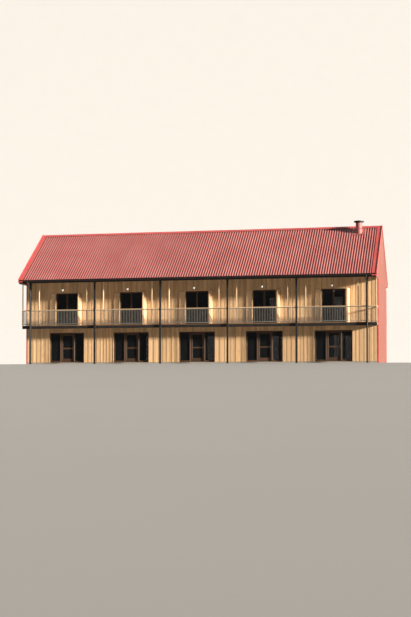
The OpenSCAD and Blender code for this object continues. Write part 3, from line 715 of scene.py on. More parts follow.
def makeDoorFrames():
    posts, rails, beads, plates = Shape(31), Shape(32), Shape(33), Shape(34)
    post, cut, half, door = doorway["post"], doorway["cut"], bays["unit"] / 2, bays["door"] / 2
    depth = wallInner, wallInner + doorway["deep"]
    deep = across(-1, *depth)
    lightFoot = slabTop + doorway["foot"]
    for mid in bayMids:
        rails.bar((mid - half, mid + half), deep, (doorHead, groundHead), cut)
        plates.bar((mid - door, mid + door), deep, (slabTop, slabTop + doorway["threshold"]), cut)
        for side in (-1, 1):
            for place in (half - post / 2, door + post / 2):
                x = mid + side * place
                posts.bar((x - post / 2, x + post / 2), deep, (slabTop, doorHead), cut)
            light = sorted((mid + side * (door + post), mid + side * (half - post)))
            rails.bar(light, deep, (slabTop, lightFoot), cut)
            beads.beads(light, -1, depth, (lightFoot, doorHead), doorway["glass"], doorway["lightBead"])
    posts.piece("door_frame_posts", "framesUpright", "frame_timber", ("door_posts",))
    rails.piece("door_frame_rails", "framesLevel", "frame_timber", ("door_rails",))
    beads.piece("side_light_beads", "framesUpright", "frame_timber")
    plates.piece("door_thresholds", "zinc", "guard_steel")


# The handle's plate, neck, lever and cylinder on both faces of a leaf
def doorHandles(shape, x, z, faces):
    half, thick, tall = handle["plate"]
    (neck, reach, neckUp), (cylinder, proud, cylinderUp) = handle["neck"], handle["cylinder"]
    for y, out in zip(faces, (-1, 1)):
        shape.bar((x - half, x + half), (y, y + out * thick), (z - tall, z + tall), 0.004)
        shape.lathe([(neck, 0), (neck, reach)], (x, y, z + neckUp), 14, towards[out])
        lever = [(x + a, y + out * (reach + bow), z + up) for a, bow, up in handle["lever"]]
        shape.tube(lever, handle["thick"], 12)
        shape.lathe([(cylinder, 0), (cylinder, proud)], (x, y, z + cylinderUp), 14, towards[out])


def makeDoor(number, mid, lowerHinges):
    wood, metal = Shape(40 + number), Shape()
    gap, stile, cut = doorway["gap"], doorway["stile"], doorway["cut"]
    left, right = mid - bays["door"] / 2 + gap, mid + bays["door"] / 2 - gap
    inner = left + stile, right - stile
    foot = slabTop + doorway["threshold"] + gap
    tall = doorHead - gap - foot
    depth = wallInner, wallInner + doorway["leaf"]
    y0, y1 = across(-1, *depth)
    for x in (left, inner[1]):
        wood.bar((x, x + stile), (y0, y1), (foot, foot + tall), cut)
    lock = doorway["lock"], doorway["lock"] + doorway["lockRail"]
    levels = [(0, doorway["leafFoot"]), lock, (tall - stile, tall)]
    for low, high in levels:
        wood.bar(inner, (y0, y1), (foot + low, foot + high), cut)
    for (_, low), (high, _) in pairwise(levels):
        wood.beads(inner, -1, depth, (foot + low, foot + high), doorway["glass"], doorway["bead"])
    past, out, up = doorway["drip"]
    wood.bar((inner[0] - past, inner[1] + past), (y0 - out, y0 + 0.002), (foot + out, foot + up), 0.006)
    r, long, (flap, thick) = hinge["radius"], hinge["long"], hinge["flap"]
    x, y = left - gap / 2, y1 + r + hinge["clear"]
    for up in (hinge["inset"], tall / 2, tall - hinge["inset"] - long):
        low = foot + up
        halves = [(metal, 1, low, None), (lowerHinges, -1, low - long - hinge["play"], 0.5)]
        for shape, way, z, tone in halves:
            shape.lathe(collarLine(r * 0.8, r, z, long, hinge["soft"]), (x, y, 0), 20, tone=tone)
            shape.bar((x, x + way * flap), (y1, y1 + thick), (z, z + long), 0.001, tone)
    doorHandles(metal, right - stile / 2, foot + sum(lock) / 2, (y0, y1))
    body = f"door_{number}"
    wood.piece(f"door_woodwork_{number}", "framesUpright", "frame_timber", (f"door_leaf_{number}",), body)
    metal.piece(f"door_fittings_{number}", "handle", "guard_steel", (), body, smooth=40)


makeWindows()
makeDoorFrames()
lowerHinges = Shape()
for number, mid in enumerate(bayMids, 1):
    makeDoor(number, mid, lowerHinges)
lowerHinges.piece("lower_hinges", "darkSteel", "dark_steel", ("door_hinges",), smooth=40)
print("windows and doors made")


# Folding shutters beside the upper front windows: framed leaves with slats, in pairs, stood off the wall
# to the right of a window and folded flat to its left
shutter = {"wide": 0.4125, "thick": 0.03, "angle": math.radians(17), "lift": 0.02, "start": 0.01,
           "stile": 0.05, "rail": 0.075, "slat": 0.034, "slatThick": 0.006, "squash": 0.62, "pitch": 0.034,
           "tilt": math.radians(38), "hinges": (0.22, 1.12, 1.98), "hingeHalf": 0.045, "pins": (0.007, 0.009),
           "pinOut": 0.004, "pinBack": 0.010, "play": 0.0003}


def shutterLeaf(shape, turn):
    tall = windowHead - floorTop - 2 * shutter["lift"]
    wide, thick, stile, rail, squash = (shutter[key] for key in ("wide", "thick", "stile", "rail", "squash"))
    for u in (0, wide - stile):
        shape.bar((0, thick), (u, u + stile), (0, tall), turn=turn)
    levels = [0, tall / 2 - rail / 2, tall - rail]
    for z in levels:
        shape.bar((0, thick), (stile, wide - stile), (z, z + rail), turn=turn)
    half, deep = shutter["slat"] / 2, shutter["slatThick"] / 2
    ring = [(-half, -deep), (half, -deep), (half, deep), (-half, deep)]
    sine, cosine = math.sin(shutter["tilt"]), math.cos(shutter["tilt"])
    for low, high in pairwise(levels):
        room = high - low - rail
        count = int(room / shutter["pitch"])
        tone = shape.dice.random()
        for i in range(count):
            x, z = thick / 2, low + rail + (i + 0.5) * room / count
            slat = [(x + (p * sine - q * cosine) * squash, z + p * cosine + q * sine) for p, q in ring]
            shape.run(slat, (stile, wide - stile), 1, tone, turn)


def makeShutters():
    leaves, pins = Shape(51), Shape()
    wide, thick, angle, start = (shutter[key] for key in ("wide", "thick", "angle", "start"))
    (thin, stout), out, back, half = (shutter[key] for key in ("pins", "pinOut", "pinBack", "hingeHalf"))
    fold = wide * math.sin(angle)
    front = Matrix.Diagonal((1, -1, 1, 1))

    # The grid of a pair that hangs at x: +X as the building's, +Y away from the wall
    def placed(x):
        return Matrix.Translation((x, -wallFace - shutter["play"], floorTop + shutter["lift"])) @ front

    for mid in bayMids:
        right = placed(mid + bays["window"] / 2 + start + thick)
        shutterLeaf(leaves, right @ Matrix.Rotation(-angle, 4, "Z") @ Matrix.Translation((-thick, 0, 0)))
        apart = Matrix.Translation((2 * (fold + shutter["play"]), 0, 0))
        shutterLeaf(leaves, right @ apart @ Matrix.Rotation(angle, 4, "Z"))
        left = placed(mid - bays["window"] / 2 - start)
        for y in (0, thick + shutter["play"]):
            shutterLeaf(leaves, left @ Matrix.Translation((0, y, 0)) @ Matrix.Rotation(math.pi / 2, 4, "Z"))
        pairs = [(right, fold, wide * math.cos(angle) - out, thin), (right, -thick / 2, back, stout),
                 (left, -wide - out, thick, thin), (left, out, thick / 2, stout)]
        for z, (grid, x, y, radius) in product(shutter["hinges"], pairs):
            pins.lathe([(radius, -half), (radius, half)], grid @ Vector((x, y, z)), 10)
    leaves.piece("shutter_leaves", "palePosts", "pale_timber", ("shutters",))
    pins.piece("shutter_hinges", "darkSteel", "dark_steel", smooth=40)


makeShutters()


# Galleries: deck boards, joists in hangers, channel edge beams; a bolt is its head's radius and height and
# its washer's radius
gallery = {"board": 0.145, "gap": 0.005, "butt": 0.001, "joist": 0.06, "joistDeep": 0.16, "edgeThick": 0.06,
           "edgeDeep": 0.2, "web": 0.006, "flange": 0.008, "play": 0.0005, "tin": 0.002, "strap": 0.07,
           "strapTall": 0.12, "screws": (0.25, 0.75), "screw": ((0.006, 0), (0.0055, 0.0012)),
           "boltRows": (0.06, 0.14), "bolt": (0.010, 0.008, 0.016)}
joistPlaces = crossPlaces(gallery["joist"])


def makeGalleries():
    boards, joists, hangers, screws, edges, bolts = Shape(61), Shape(62), Shape(), Shape(), Shape(), Shape()
    count = round((postInner - wallFace) / gallery["board"])
    wide = (postInner - wallFace) / count
    half, joint, tin, strap = gallery["joist"] / 2, gallery["gap"] / 2, gallery["tin"], gallery["strap"]
    joistIn, low = postInner - gallery["edgeThick"], deckLow - gallery["joistDeep"]
    bottom, under, web = deckLow - gallery["edgeDeep"], deckLow - gallery["play"], postInner - gallery["web"]
    for side in (-1, 1):
        for i in range(count):
            y = wallFace + i * wide
            for a, b in pairwise(bayEnds):
                x = a + gallery["butt"], b - gallery["butt"]
                boards.bar(x, across(side, y + joint, y + wide - joint), (deckLow, floorTop))
            for x, share in product(joistPlaces, gallery["screws"]):
                at = (x, side * (y + wide * share), floorTop - gallery["play"])
                screws.lathe(gallery["screw"], at, 6)
        for x in joistPlaces:
            joists.bar((x - half, x + half), across(side, wallFace, joistIn), (low, under), 0.004)
            for near, far in ((wallFace + 0.001, wallFace + strap), (joistIn - strap, joistIn - 0.001)):
                for a in (x - half - tin, x + half):
                    inside = max(-halfLength, min(a, halfLength - tin))
                    z = low - tin, low + gallery["strapTall"]
                    hangers.bar((inside, inside + tin), across(side, near, far), z, 0)
                hangers.bar((x - half, x + half), across(side, near, far), (low - tin, low), 0)
        edges.bar(lengthwise, across(side, web, postInner), (bottom, under), 0.002)
        for z in (bottom, under - gallery["flange"]):
            edges.bar(lengthwise, across(side, joistIn, web), (z, z + gallery["flange"]), 0.001)
        for x, z in product(joistPlaces, gallery["boltRows"]):
            bolts.head((x, side * postInner, bottom + z), towards[side], gallery["bolt"])
    boards.piece("deck_boards", "deckBoards", "pale_timber", ("gallery_decks",))
    joists.piece("joist_timbers", "joists", "roof_timber", ("deck_joists",))
    hangers.piece("joist_hangers", "zinc", "guard_steel")
    screws.piece("deck_screws", "zinc", "guard_steel")
    edges.piece("edge_channels", "darkSteel", "dark_steel", ("edge_beams",))
    bolts.piece("edge_bolts", "darkSteel", "dark_steel", smooth=30)


# Posts: foot plates, plates at the eave beam, and the pale timbers that flank the posts upstairs
posts = {"foot": (0.105, 0.098), "footThick": 0.012, "footBolts": (0.08, 0.078),
         "footBolt": (0.011, 0.010, 0.018), "plate": 0.075, "plateThick": 0.006, "plateBelow": 0.16,
         "plateAbove": 0.12, "plateBolts": ((-0.045, 0.05), (0.045, 0.09), (-0.03, -0.11), (0.03, -0.05)),
         "bolt": (0.010, 0.008, 0.016), "slim": 0.06, "slimOut": 0.62, "slimRise": 0.15,
         "slimBolts": (0.05, 0.11), "slimBolt": (0.009, 0.007, 0.016), "shoe": 0.002, "shoeTall": 0.09}


def makePosts():
    plates, slim, bolts = Shape(), Shape(71), Shape()
    (wide, deep), (boltX, boltY) = posts["foot"], posts["footBolts"]
    thick, plate = posts["footThick"], posts["plate"]
    plateZ = beamLow - posts["plateBelow"], beamLow + posts["plateAbove"]
    for side, x in product((-1, 1), bayLines):
        y = side * postMid
        plates.bar((x - wide, x + wide), (y - deep, y + deep), (0.0, thick), 0.002)
        for a, b in product((-boltX, boltX), (-boltY, boltY)):
            bolts.head((x + a, y + b, thick), standing, posts["footBolt"])
        for face in (-1, 1):
            near = y + face * bays["post"] / 2
            out = near + face * posts["plateThick"]
            plates.bar((x - plate, x + plate), (near, out), plateZ, 0.002)
            for a, z in posts["plateBolts"]:
                bolts.head((x + a, out, beamLow + z), towards[face], posts["bolt"])
    slimWide, shoe = posts["slim"], posts["shoe"]
    y = -postInner, -postInner + slimWide
    for x, reach in product(bayLines, (-posts["slimOut"], posts["slimOut"])):
        left = x + reach - slimWide / 2
        slim.bar((left, left + slimWide), y, (floorTop, beamLow + posts["slimRise"]), 0.004)
        for z in posts["slimBolts"]:
            bolts.head((x + reach, -postOut, beamLow + z), towards[-1], posts["slimBolt"])
        for a in (left - shoe, left + slimWide):
            plates.bar((a, a + shoe), y, (floorTop, floorTop + posts["shoeTall"]), 0)
    plates.piece("post_plates", "darkSteel", "dark_steel")
    slim.piece("slim_timbers", "palePosts", "pale_timber", ("slim_posts",))
    bolts.piece("post_bolts", "zinc", "guard_steel", smooth=30)


handrail = {"half": 0.045, "round": 0.012, "end": 0.06, "clips": 5, "clip": 0.03, "clipThick": 0.004,
            "ears": (0.10, -0.06), "ear": 0.05, "earTall": 0.018, "earOut": (0.014, 0.008),
            "screw": (0.006, 0.005, 0.010), "screwOut": 0.03}


def makeHandrails():
    rails, clips = Shape(81), Shape()
    half, clip, ear, tall = (handrail[key] for key in ("half", "clip", "ear", "earTall"))
    near, far = handrail["earOut"]
    heights = floorTop + handrail["ears"][0], railLow + handrail["ears"][1]
    post = bays["post"] / 2
    edges = [(-halfLength, bayLines[0] - post)] + [(a + post, b - post) for a, b in pairwise(bayLines)]
    edges += [(bayLines[-1] + post, halfLength)]
    for side, (a, b) in product((-1, 1), edges):
        y = side * postMid
        rails.bar((a, b), (y - half, y + half), (railLow, railTop), handrail["round"])
        if b - a < 1:
            continue
        for i in range(handrail["clips"]):
            x = a + (i + 0.5) * (b - a) / handrail["clips"]
            z = railLow - handrail["clipThick"], railLow
            clips.bar((x - clip, x + clip), (y - clip, y + clip), z, 0.001)
        for (x, out), z in product(((a, 1), (b, -1)), heights):
            clips.bar((x, x + out * ear), (y - near, y - far), (z - tall, z + tall), 0.001)
            clips.head((x + out * handrail["screwOut"], y - near, z), towards[-1], handrail["screw"])
    end = handrail["end"]
    for x in (-halfLength, halfLength - end):
        rails.bar((x, x + end), (-postInner + end, -wallFace), (railLow, railTop), 0.010)
    rails.piece("handrail_timbers", "paleRails", "pale_timber", ("handrails",))
    clips.piece("guard_clips", "zinc", "guard_steel")


makeGalleries()
makePosts()
makeHandrails()
print("galleries made")


# Roof: waved sheets with side laps and fixings; heights are above the rafters, square to the slope
sheet = {"waves": 143, "half": halfLength + 0.045, "deep": 0.051, "base": 0.0226, "cadThick": 0.008,
         "thick": 0.003, "samples": 16, "perSheet": 6, "lap": 0.35, "lapLift": 0.0022,
         "rows": (0.12, 1.18, 2.25, 3.32, 4.40, 5.46, 6.05), "screw": (0.006, 0.006, 0.012),
         "screwLift": 0.0015, "clearEnd": 0.33, "play": 0.0003}
waveWide = 2 * sheet["half"] / sheet["waves"]
sheetTop = sheet["base"] + sheet["deep"] + sheet["cadThick"]
sheetLong = downSlope(eaveLine, sheetTop)
flue = {"x": sum(span("flue", 0)) / 2, "front": -sum(span("flue", 1)) / 2, "radius": 0.224, "wall": 0.025,
        "hole": 0.235, "boardHole": 0.255, "collar": 0.41, "clear": 0.04, "screws": 6, "screwIn": 0.03,
        "screwUp": 0.0035,
        "storm": ((0.002, 0.235), (0.055, 0.188), (0.055, 0.184), (0.002, 0.228), (0.002, 0.235)),
        "bandUp": 0.296, "bandDown": 0.054, "band": (0.004, 0.032), "lug": (0.015, 0.018, 0.003, 0.006),
        "sides": 64}
flueDown = downSlope(flue["front"], sheetTop)


def waveHeight(wave):
    return sheet["base"] + sheet["cadThick"] + sheet["deep"] * (1 - np.cos(2 * math.pi * wave)) / 2


def waveStretch(shape, first, last, ends, lift, tone, side):
    steps = max(2, round((last - first) * sheet["samples"]))
    waves = np.linspace(first, last, steps + 1)
    x = side * (waves * waveWide - sheet["half"])
    top = waveHeight(waves) + lift
    slant = math.pi * sheet["deep"] / waveWide * np.sin(2 * math.pi * waves)
    low = top - sheet["thick"] * np.sqrt(1 + slant ** 2)
    # Share of depth in a valley, 1 at a wave's bottom; the roof finish darkens it as painted shade
    valley = np.tile((1 + np.cos(2 * math.pi * waves)) / 2, 4)
    shape.between(np.stack([x, top], 1), np.stack([x, low], 1), ends, 1, tone, None, valley)


# The front sheets are cut round the flue in whole waves
def makeSheets(name, side):
    shape, fixings = Shape(91 + side), Shape()
    first = math.floor((flue["x"] - flue["hole"] + sheet["half"]) / waveWide)
    last = math.ceil((flue["x"] + flue["hole"] + sheet["half"]) / waveWide)
    whole = [(0.0, sheetLong)]
    around = [(0.0, downSlope(flue["front"] - flue["hole"], sheetTop)),
              (downSlope(flue["front"] + flue["hole"], sheet["base"]), sheetLong)]
    edges = list(range(0, sheet["waves"], sheet["perSheet"])) + [sheet["waves"]]
    for i, (a, b) in enumerate(pairwise(edges)):
        over = i % 2
        w0, w1 = a - over * sheet["lap"], min(sheet["waves"], b + over * sheet["lap"])
        tone = shape.dice.random()
        parts = [(w0, w1, whole)]
        if side < 0 and a < last and b > first:
            parts = [(w0, first, whole), (first, last, around), (last, w1, whole)]
        for p, q, stretches in parts:
            for ends in stretches if q > p else []:
                waveStretch(shape, p, q, ends, over * sheet["lapLift"], tone, side)
    room = flue["collar"] + flue["clear"]
    for wave, u in product(range(1, sheet["waves"], 2), sheet["rows"]):
        x = side * ((wave + 0.5) * waveWide - sheet["half"])
        clear = side > 0 or abs(x + flue["x"]) >= room or abs(u - flueDown) >= room
        if clear and abs(x) < halfLength - sheet["clearEnd"]:
            fixings.head((x, u, sheetTop + sheet["screwLift"]), standing, sheet["screw"])
    place = slopes[side]
    shape.piece(f"{name}_sheets", "roofSheet", "red_sheet", (f"{name}_roof_sheet",), place=place, smooth=50)
    fixings.piece(f"{name}_sheet_fixings", "trim", "red_sheet", place=place, smooth=30)


# Foam combs that close the waves under the capping and over the eave, between the sheet and a level line
comb = {"top": (0.19, 0.215), "eave": (0.115, 0.09), "samples": 8, "play": (0.0005, 0.001, 0.002, 0.003)}


def makeCombs(name, side):
    shape = Shape()
    count = sheet["waves"] * comb["samples"] + 1
    x = np.linspace(-sheet["half"], sheet["half"], count)
    wave = waveHeight(np.arange(count) / comb["samples"])
    level = np.ones(count)
    onSheet, onBase, underSheet, underCap = comb["play"]
    over = comb["top"], wave + onSheet, level * (sheetTop + underCap)
    eave = [sheetLong - up for up in comb["eave"]]
    under = eave, level * (sheet["base"] + onBase), wave - sheet["thick"] - underSheet
    for ends, low, high in (over, under):
        high = np.maximum(high, low + 0.0002)
        shape.between(np.stack([x, low], 1), np.stack([x, high], 1), ends, 1, 0.5)
    shape.piece(f"{name}_wave_combs", "foil", "dark_steel", place=slopes[side])


# Height of the crests' plane over a place across the building
def sheetLine(y):
    return rafterTop(y) + (sheetTop + sheet["play"]) / slopeCos


# A small screw on its washer, at a place in a slope's or gable's own grid
screw = {"washer": 0.011, "washerUp": 0.0015, "radius": 0.006, "base": 0.002, "top": 0.007, "sides": 8}


def sheetScrew(shape, grid, at, out=screw["washer"]):
    radius = screw["radius"]
    outline = [(out, 0.0), (out, screw["washerUp"]), (radius, screw["base"]), (radius, screw["top"])]
    shape.lathe(outline, grid @ Vector(at), screw["sides"], grid.to_3x3().to_4x4())


# Capping in lapped lengths along the ridge
capping = {"wing": 0.26, "thick": 0.003, "hem": (0.004, 0.012), "lengths": 11, "lap": 0.09, "lift": 0.0046,
           "step": 0.0034, "end": 0.028, "top": ((0.03, 0.0), (0.012, 0.002)), "screws": 0.53,
           "screwStart": 0.25, "screwEnd": 0.1, "screwIn": 0.035, "screwUp": 0.0085}


def makeRidge(screws):
    ridge = Shape(95)
    wing, (hemOut, hemDown) = capping["wing"] * slopeCos, capping["hem"]
    reach = vergeOut - capping["end"]
    long = 2 * reach / capping["lengths"]
    for i in range(capping["lengths"]):
        odd = i % 2
        over = capping["lap"] * odd
        x0, x1 = max(-reach, i * long - reach - over), min(reach, (i + 1) * long - reach + over)
        up = capping["lift"] / slopeCos + capping["step"] * odd
        line = [(-wing - hemOut, sheetLine(wing) + up - hemDown), (-wing, sheetLine(wing) + up)]
        line += [(-y, sheetLine(y) + up - down) for y, down in capping["top"]]
        ridge.strip(line + [(-y, z) for y, z in line[::-1]], capping["thick"], (x0, x1))
        row = np.arange(x0 + capping["screwStart"], x1 - capping["screwEnd"], capping["screws"])
        down, out = downSlope(wing - capping["screwIn"], sheetTop), sheetTop + capping["screwUp"]
        for x, side in product(row, (-1, 1)):
            sheetScrew(screws, slopes[side], (side * x, down, out))
    ridge.piece("ridge_capping", "trim", "red_sheet", ("ridge_cap",))


# At the gables, strips with a standing fold and a drop down the cladding, and a crown over the apex
verge = {"flat": 0.34, "thick": 0.0025, "lengths": 3, "lap": 0.06, "step": 0.003, "fold": 0.014,
         "upstand": 0.045, "drop": 0.15, "kick": (0.002, 0.015), "inset": 0.0075, "play": 0.0006,
         "start": 0.01, "cap": (0.004, 0.0005, 0.012), "screws": 0.45, "screwStart": 0.2, "screwIn": 0.04,
         "crown": 0.09, "crownUp": 0.006, "crownX": (0.0005, 0.0265)}


def makeVerges(screws):
    verges = Shape(96)
    (kick, lip), (capIn, capOut, capDown) = verge["kick"], verge["cap"]
    for end in (-1, 1):
        for side in (1, -1):
            over = end * side
            grid = slopes[side] @ Matrix(((0, over, 0, 0), (1, 0, 0, 0), (0, 0, 1, 0), (0, 0, 0, 1)))
            for i in range(verge["lengths"]):
                odd = i % 2
                lap = verge["lap"] * odd
                u0, u1 = (sheetLong * (i + k) / verge["lengths"] for k in (0, 1))
                u0, u1 = max(verge["start"], u0 - lap), min(sheetLong, u1 + lap)
                up = sheetTop + verge["play"] + verge["step"] * odd
                crest, drop = up + verge["upstand"], up - verge["drop"]
                a, b = vergeOut - verge["flat"], vergeOut - verge["inset"] + verge["step"] * odd
                inside = b - verge["fold"] - 2 * verge["step"] * odd
                line = [(a, up), (inside, up), (inside, crest), (b, crest), (b, drop), (b + kick, drop - lip)]
                verges.strip(line, verge["thick"], (u0, u1), grid)
                if u1 == sheetLong:
                    verges.bar((u1 - capIn, u1 - capOut), (inside, b), (up - capDown, crest), 0, turn=grid)
                for u in np.arange(u0 + verge["screwStart"], u1, verge["screws"]):
                    sheetScrew(screws, slopes[side], (over * (a + verge["screwIn"]), u, up + verge["thick"]))
        crown = [(y, sheetLine(y)) for y in (-verge["crown"], 0, verge["crown"])]
        crown += [(y, z + verge["upstand"] / slopeCos + verge["crownUp"]) for y, z in crown[::-1]]
        verges.run(crown, across(end, *(vergeOut - back for back in verge["crownX"])))
    verges.piece("verge_trims", "trim", "red_sheet", ("verge_flashings",))


# Screws round the flue's plate
def makeCollarScrews(screws):
    rim = flue["collar"] - flue["screwIn"]
    row = np.linspace(-rim, rim, flue["screws"])
    spots = [*product(row, (-rim, rim)), *((x, u) for u, x in product(row[1:-1], (-rim, rim)))]
    for x, u in spots:
        sheetScrew(screws, slopes[-1], (x - flue["x"], flueDown + u, sheetTop + flue["screwUp"]))


# Boards under the sheets, with a few butt joints on the rafters in each row
soffit = {"board": 0.12, "joint": 0.0008, "lift": 0.0006, "clear": 0.001, "ridge": 0.002, "joints": 4,
          "apart": 2.0, "least": 0.05}


def makeSoffit():
    boards = Shape(97)
    long = downSlope(tailLine)
    count = round(long / soffit["board"])
    wide, joint = long / count, soffit["joint"]
    hole = [flue["x"] + way * flue["boardHole"] for way in (-1, 1)]
    holeDown = [downSlope(flue["front"] + way * flue["boardHole"]) for way in (-1, 1)]
    z = soffit["lift"], soffit["lift"] + slope["board"] - soffit["clear"]
    for side, i in product((-1, 1), range(count)):
        u0, u1 = i * wide + (0 if i else soffit["ridge"]), (i + 1) * wide
        joints = sorted(boards.dice.sample(rafterPlaces[3:-3], soffit["joints"]))
        apart = [b for a, b in pairwise(joints) if b - a > soffit["apart"]]
        for a, b in pairwise([-halfLength, joints[0], *apart, halfLength]):
            parts = [(a, b)]
            if side < 0 and u1 > holeDown[0] and u0 < holeDown[1]:
                parts = [(a, min(b, hole[0])), (max(a, hole[1]), b)]
            for p, q in parts:
                if q - p > soffit["least"]:
                    boards.bar((side * p, side * q), (u0 + joint, u1 - joint), z, turn=slopes[side])
    boards.piece("soffit_boards", "soffit", "roof_timber", ("roof_boards",))


for name, side in longSides.items():
    makeSheets(name, side)
flashingScrews = Shape()
makeRidge(flashingScrews)
makeVerges(flashingScrews)
makeCollarScrews(flashingScrews)
flashingScrews.piece("flashing_screws", "trim", "red_sheet", smooth=30)
for name, side in longSides.items():
    makeCombs(name, side)
makeSoffit()
print("roof made")


# Gutters with sockets, brackets and corner boxes, and downpipes with sockets and clips
drain = {"radius": 0.0595, "mid": 0.0653, "thick": 0.0025, "bead": 0.008, "beadSunk": 0.4,
         "reach": vergeOut - verge["flat"], "rim": 0.018, "cover": 0.003, "socket": 0.04, "socketEnd": 355,
         "bracket": 0.0125, "bracketUp": 0.05, "bracketEnd": 362, "box": (0.001, 0.0095), "boxBack": 0.0005,
         "boxOut": 0.005, "boxUp": (0.02, 0.012, 0.008), "boxDown": 0.009, "boxCut": (0.004, 0.008)}
gutterMid = fasciaLine + drain["mid"]


# Half round the gutter's middle, from its back edge to an angle in degrees
def arc(radius, end=360, steps=20):
    angles = [math.radians(180 + (end - 180) * i / steps) for i in range(steps + 1)]
    return [(gutterMid + radius * math.cos(a), gutterTop + radius * math.sin(a)) for a in angles]


def makeGutters():
    gutters, brackets, boxes = Shape(), Shape(), Shape()
    r, reach, cover = drain["radius"], drain["reach"], drain["cover"]
    back, front = fasciaLine + drain["boxBack"], gutterMid + r + drain["boxOut"]
    low = gutterTop - r - drain["boxDown"]
    (slant, foot), heights = drain["boxCut"], [gutterTop + up for up in drain["boxUp"]]
    corner = [*zip((back, front - slant, front), heights), (front, low + foot), (front - foot, low)]
    corner.append((back, low))
    trough = [(gutterMid - r, gutterTop + drain["rim"])] + arc(r)
    strap = [(gutterMid - r - cover, gutterTop + drain["bracketUp"])]
    strap += arc(r + cover, drain["bracketEnd"], 16)
    for side in (-1, 1):
        def facing(line):
            return [(side * y, z) for y, z in line]
        thick = drain["thick"] * side
        gutters.strip(facing(trough), thick, (-reach, reach))
        bead = side * (gutterMid + r - drain["bead"] * drain["beadSunk"])
        gutters.tube([(x, bead, gutterTop) for x in np.linspace(-reach, reach, 9)], drain["bead"], 12)
        for end in (-1, 1):
            gutters.run(facing(arc(r)), across(end, reach, reach - cover))
            boxes.run(facing(corner), across(end, reach + drain["box"][0], vergeOut - drain["box"][1]))
        for x in bayLines[1:-1]:
            socket = facing(arc(r + drain["thick"], drain["socketEnd"]))
            gutters.strip(socket, thick, (x - drain["socket"], x + drain["socket"]))
        for x in [x for x in rafterPlaces if abs(x) < reach]:
            brackets.strip(facing(strap), thick, (x - drain["bracket"], x + drain["bracket"]))
    gutters.piece("gutter_runs", "darkSteel", "dark_steel", ("gutters",), smooth=35)
    boxes.piece("eave_corner_boxes", "trim", "red_sheet")
    brackets.piece("gutter_brackets", "darkSteel", "dark_steel", smooth=35)


# Downpipes: a neck under the gutter, a slanted bend to the post, sockets and clips, and an open foot
pipe = {"radius": 0.04, "thin": 0.93, "bore": 0.82, "top": 0.058, "neck": 0.185, "slant": 0.7, "bend": 0.07,
        "bendSteps": 6, "foot": 0.12, "shoe": 0.2, "plug": 0.02, "outlet": (0.115, 0.05), "sides": 20,
        "outletWide": 0.99, "sleeve": 0.94, "socket": (0.06, 0.004), "sockets": (0.16, 2.9),
        "clip": (0.025, 0.001), "clips": (0.75, 2.2, 3.6, 4.9), "arms": (0.03, 0.055), "play": 0.0003}


# A line of points with its corners rounded
def rounded(points, radius, steps):
    points = [Vector(p) for p in points]
    line = points[:1]
    for before, at, after in zip(points, points[1:], points[2:]):
        start = at + (before - at).normalized() * radius
        end = at + (after - at).normalized() * radius
        curve = np.linspace(0, 1, steps + 1)
        line += [start * (1 - t) ** 2 + at * 2 * t * (1 - t) + end * t ** 2 for t in curve]
    return line + points[-1:]


def makeDownpipes():
    pipes = Shape()
    r, foot, (outletDown, outletTall) = pipe["radius"], pipe["foot"], pipe["outlet"]
    neck, shoe, thin, bore = gutterTop - pipe["neck"], foot + pipe["shoe"], r * pipe["thin"], r * pipe["bore"]
    plug, outlet, sides = shoe - pipe["plug"], r * pipe["outletWide"], pipe["sides"]
    for end, side in product((-1, 1), repeat=2):
        x, out, back = end * bayLines[-1], side * gutterMid, side * (postOut + r + pipe["play"])
        bend = neck - abs(out - back) * pipe["slant"]
        path = [(x, out, gutterTop - pipe["top"]), (x, out, neck), (x, back, bend), (x, back, shoe)]
        pipes.tube(rounded(path, pipe["bend"], pipe["bendSteps"]), thin, sides)
        mouth = [(thin, shoe), (thin, foot), (bore, foot), (bore, plug), (0.001, plug)]
        pipes.lathe(mouth, (x, back, 0), sides)
        pipes.lathe([(outlet, 0), (outlet, outletTall)], (x, out, gutterTop - outletDown), sides)
        sockets = [(z, *pipe["socket"]) for z in (bend - pipe["sockets"][0], pipe["sockets"][1])]
        for z, tall, soft in sockets + [(z, *pipe["clip"]) for z in pipe["clips"]]:
            pipes.lathe(collarLine(r * pipe["sleeve"], r, z, tall, soft), (x, back, 0), sides)
            for way in (-1, 1) if z in pipe["clips"] else ():
                arm = [x + way * out for out in pipe["arms"]]
                pipes.bar(arm, (back, side * (postOut + 0.001)), (z, z + tall), 0.001)
    pipes.piece("downpipe_runs", "darkSteel", "dark_steel", ("downpipes",), smooth=35)


makeGutters()
makeDownpipes()


# Gables: fixings in rows, corner and foot trims; ribbed screens at the rear gallery's ends
gable = {"ribs": 0.2, "deep": 0.03, "plate": 0.008, "rows": (0.35, 1.5, 2.65, 3.8, 4.95), "start": 0.055,
         "headRows": (5.95, 6.95, 7.95), "headClear": 0.35, "headReach": 4.6, "screw": 0.010, "corner": 0.07,
         "thick": 0.0025, "cut": 0.0008, "cornerOut": (0.0005, 0.003), "wrap": (0.0003, 0.05),
         "out": (0.001, 0.004), "lip": 0.003, "foot": (0.009, 0.003, 0.021), "head": (0.006, 0.004, 0.028),
         "headIn": 0.004}


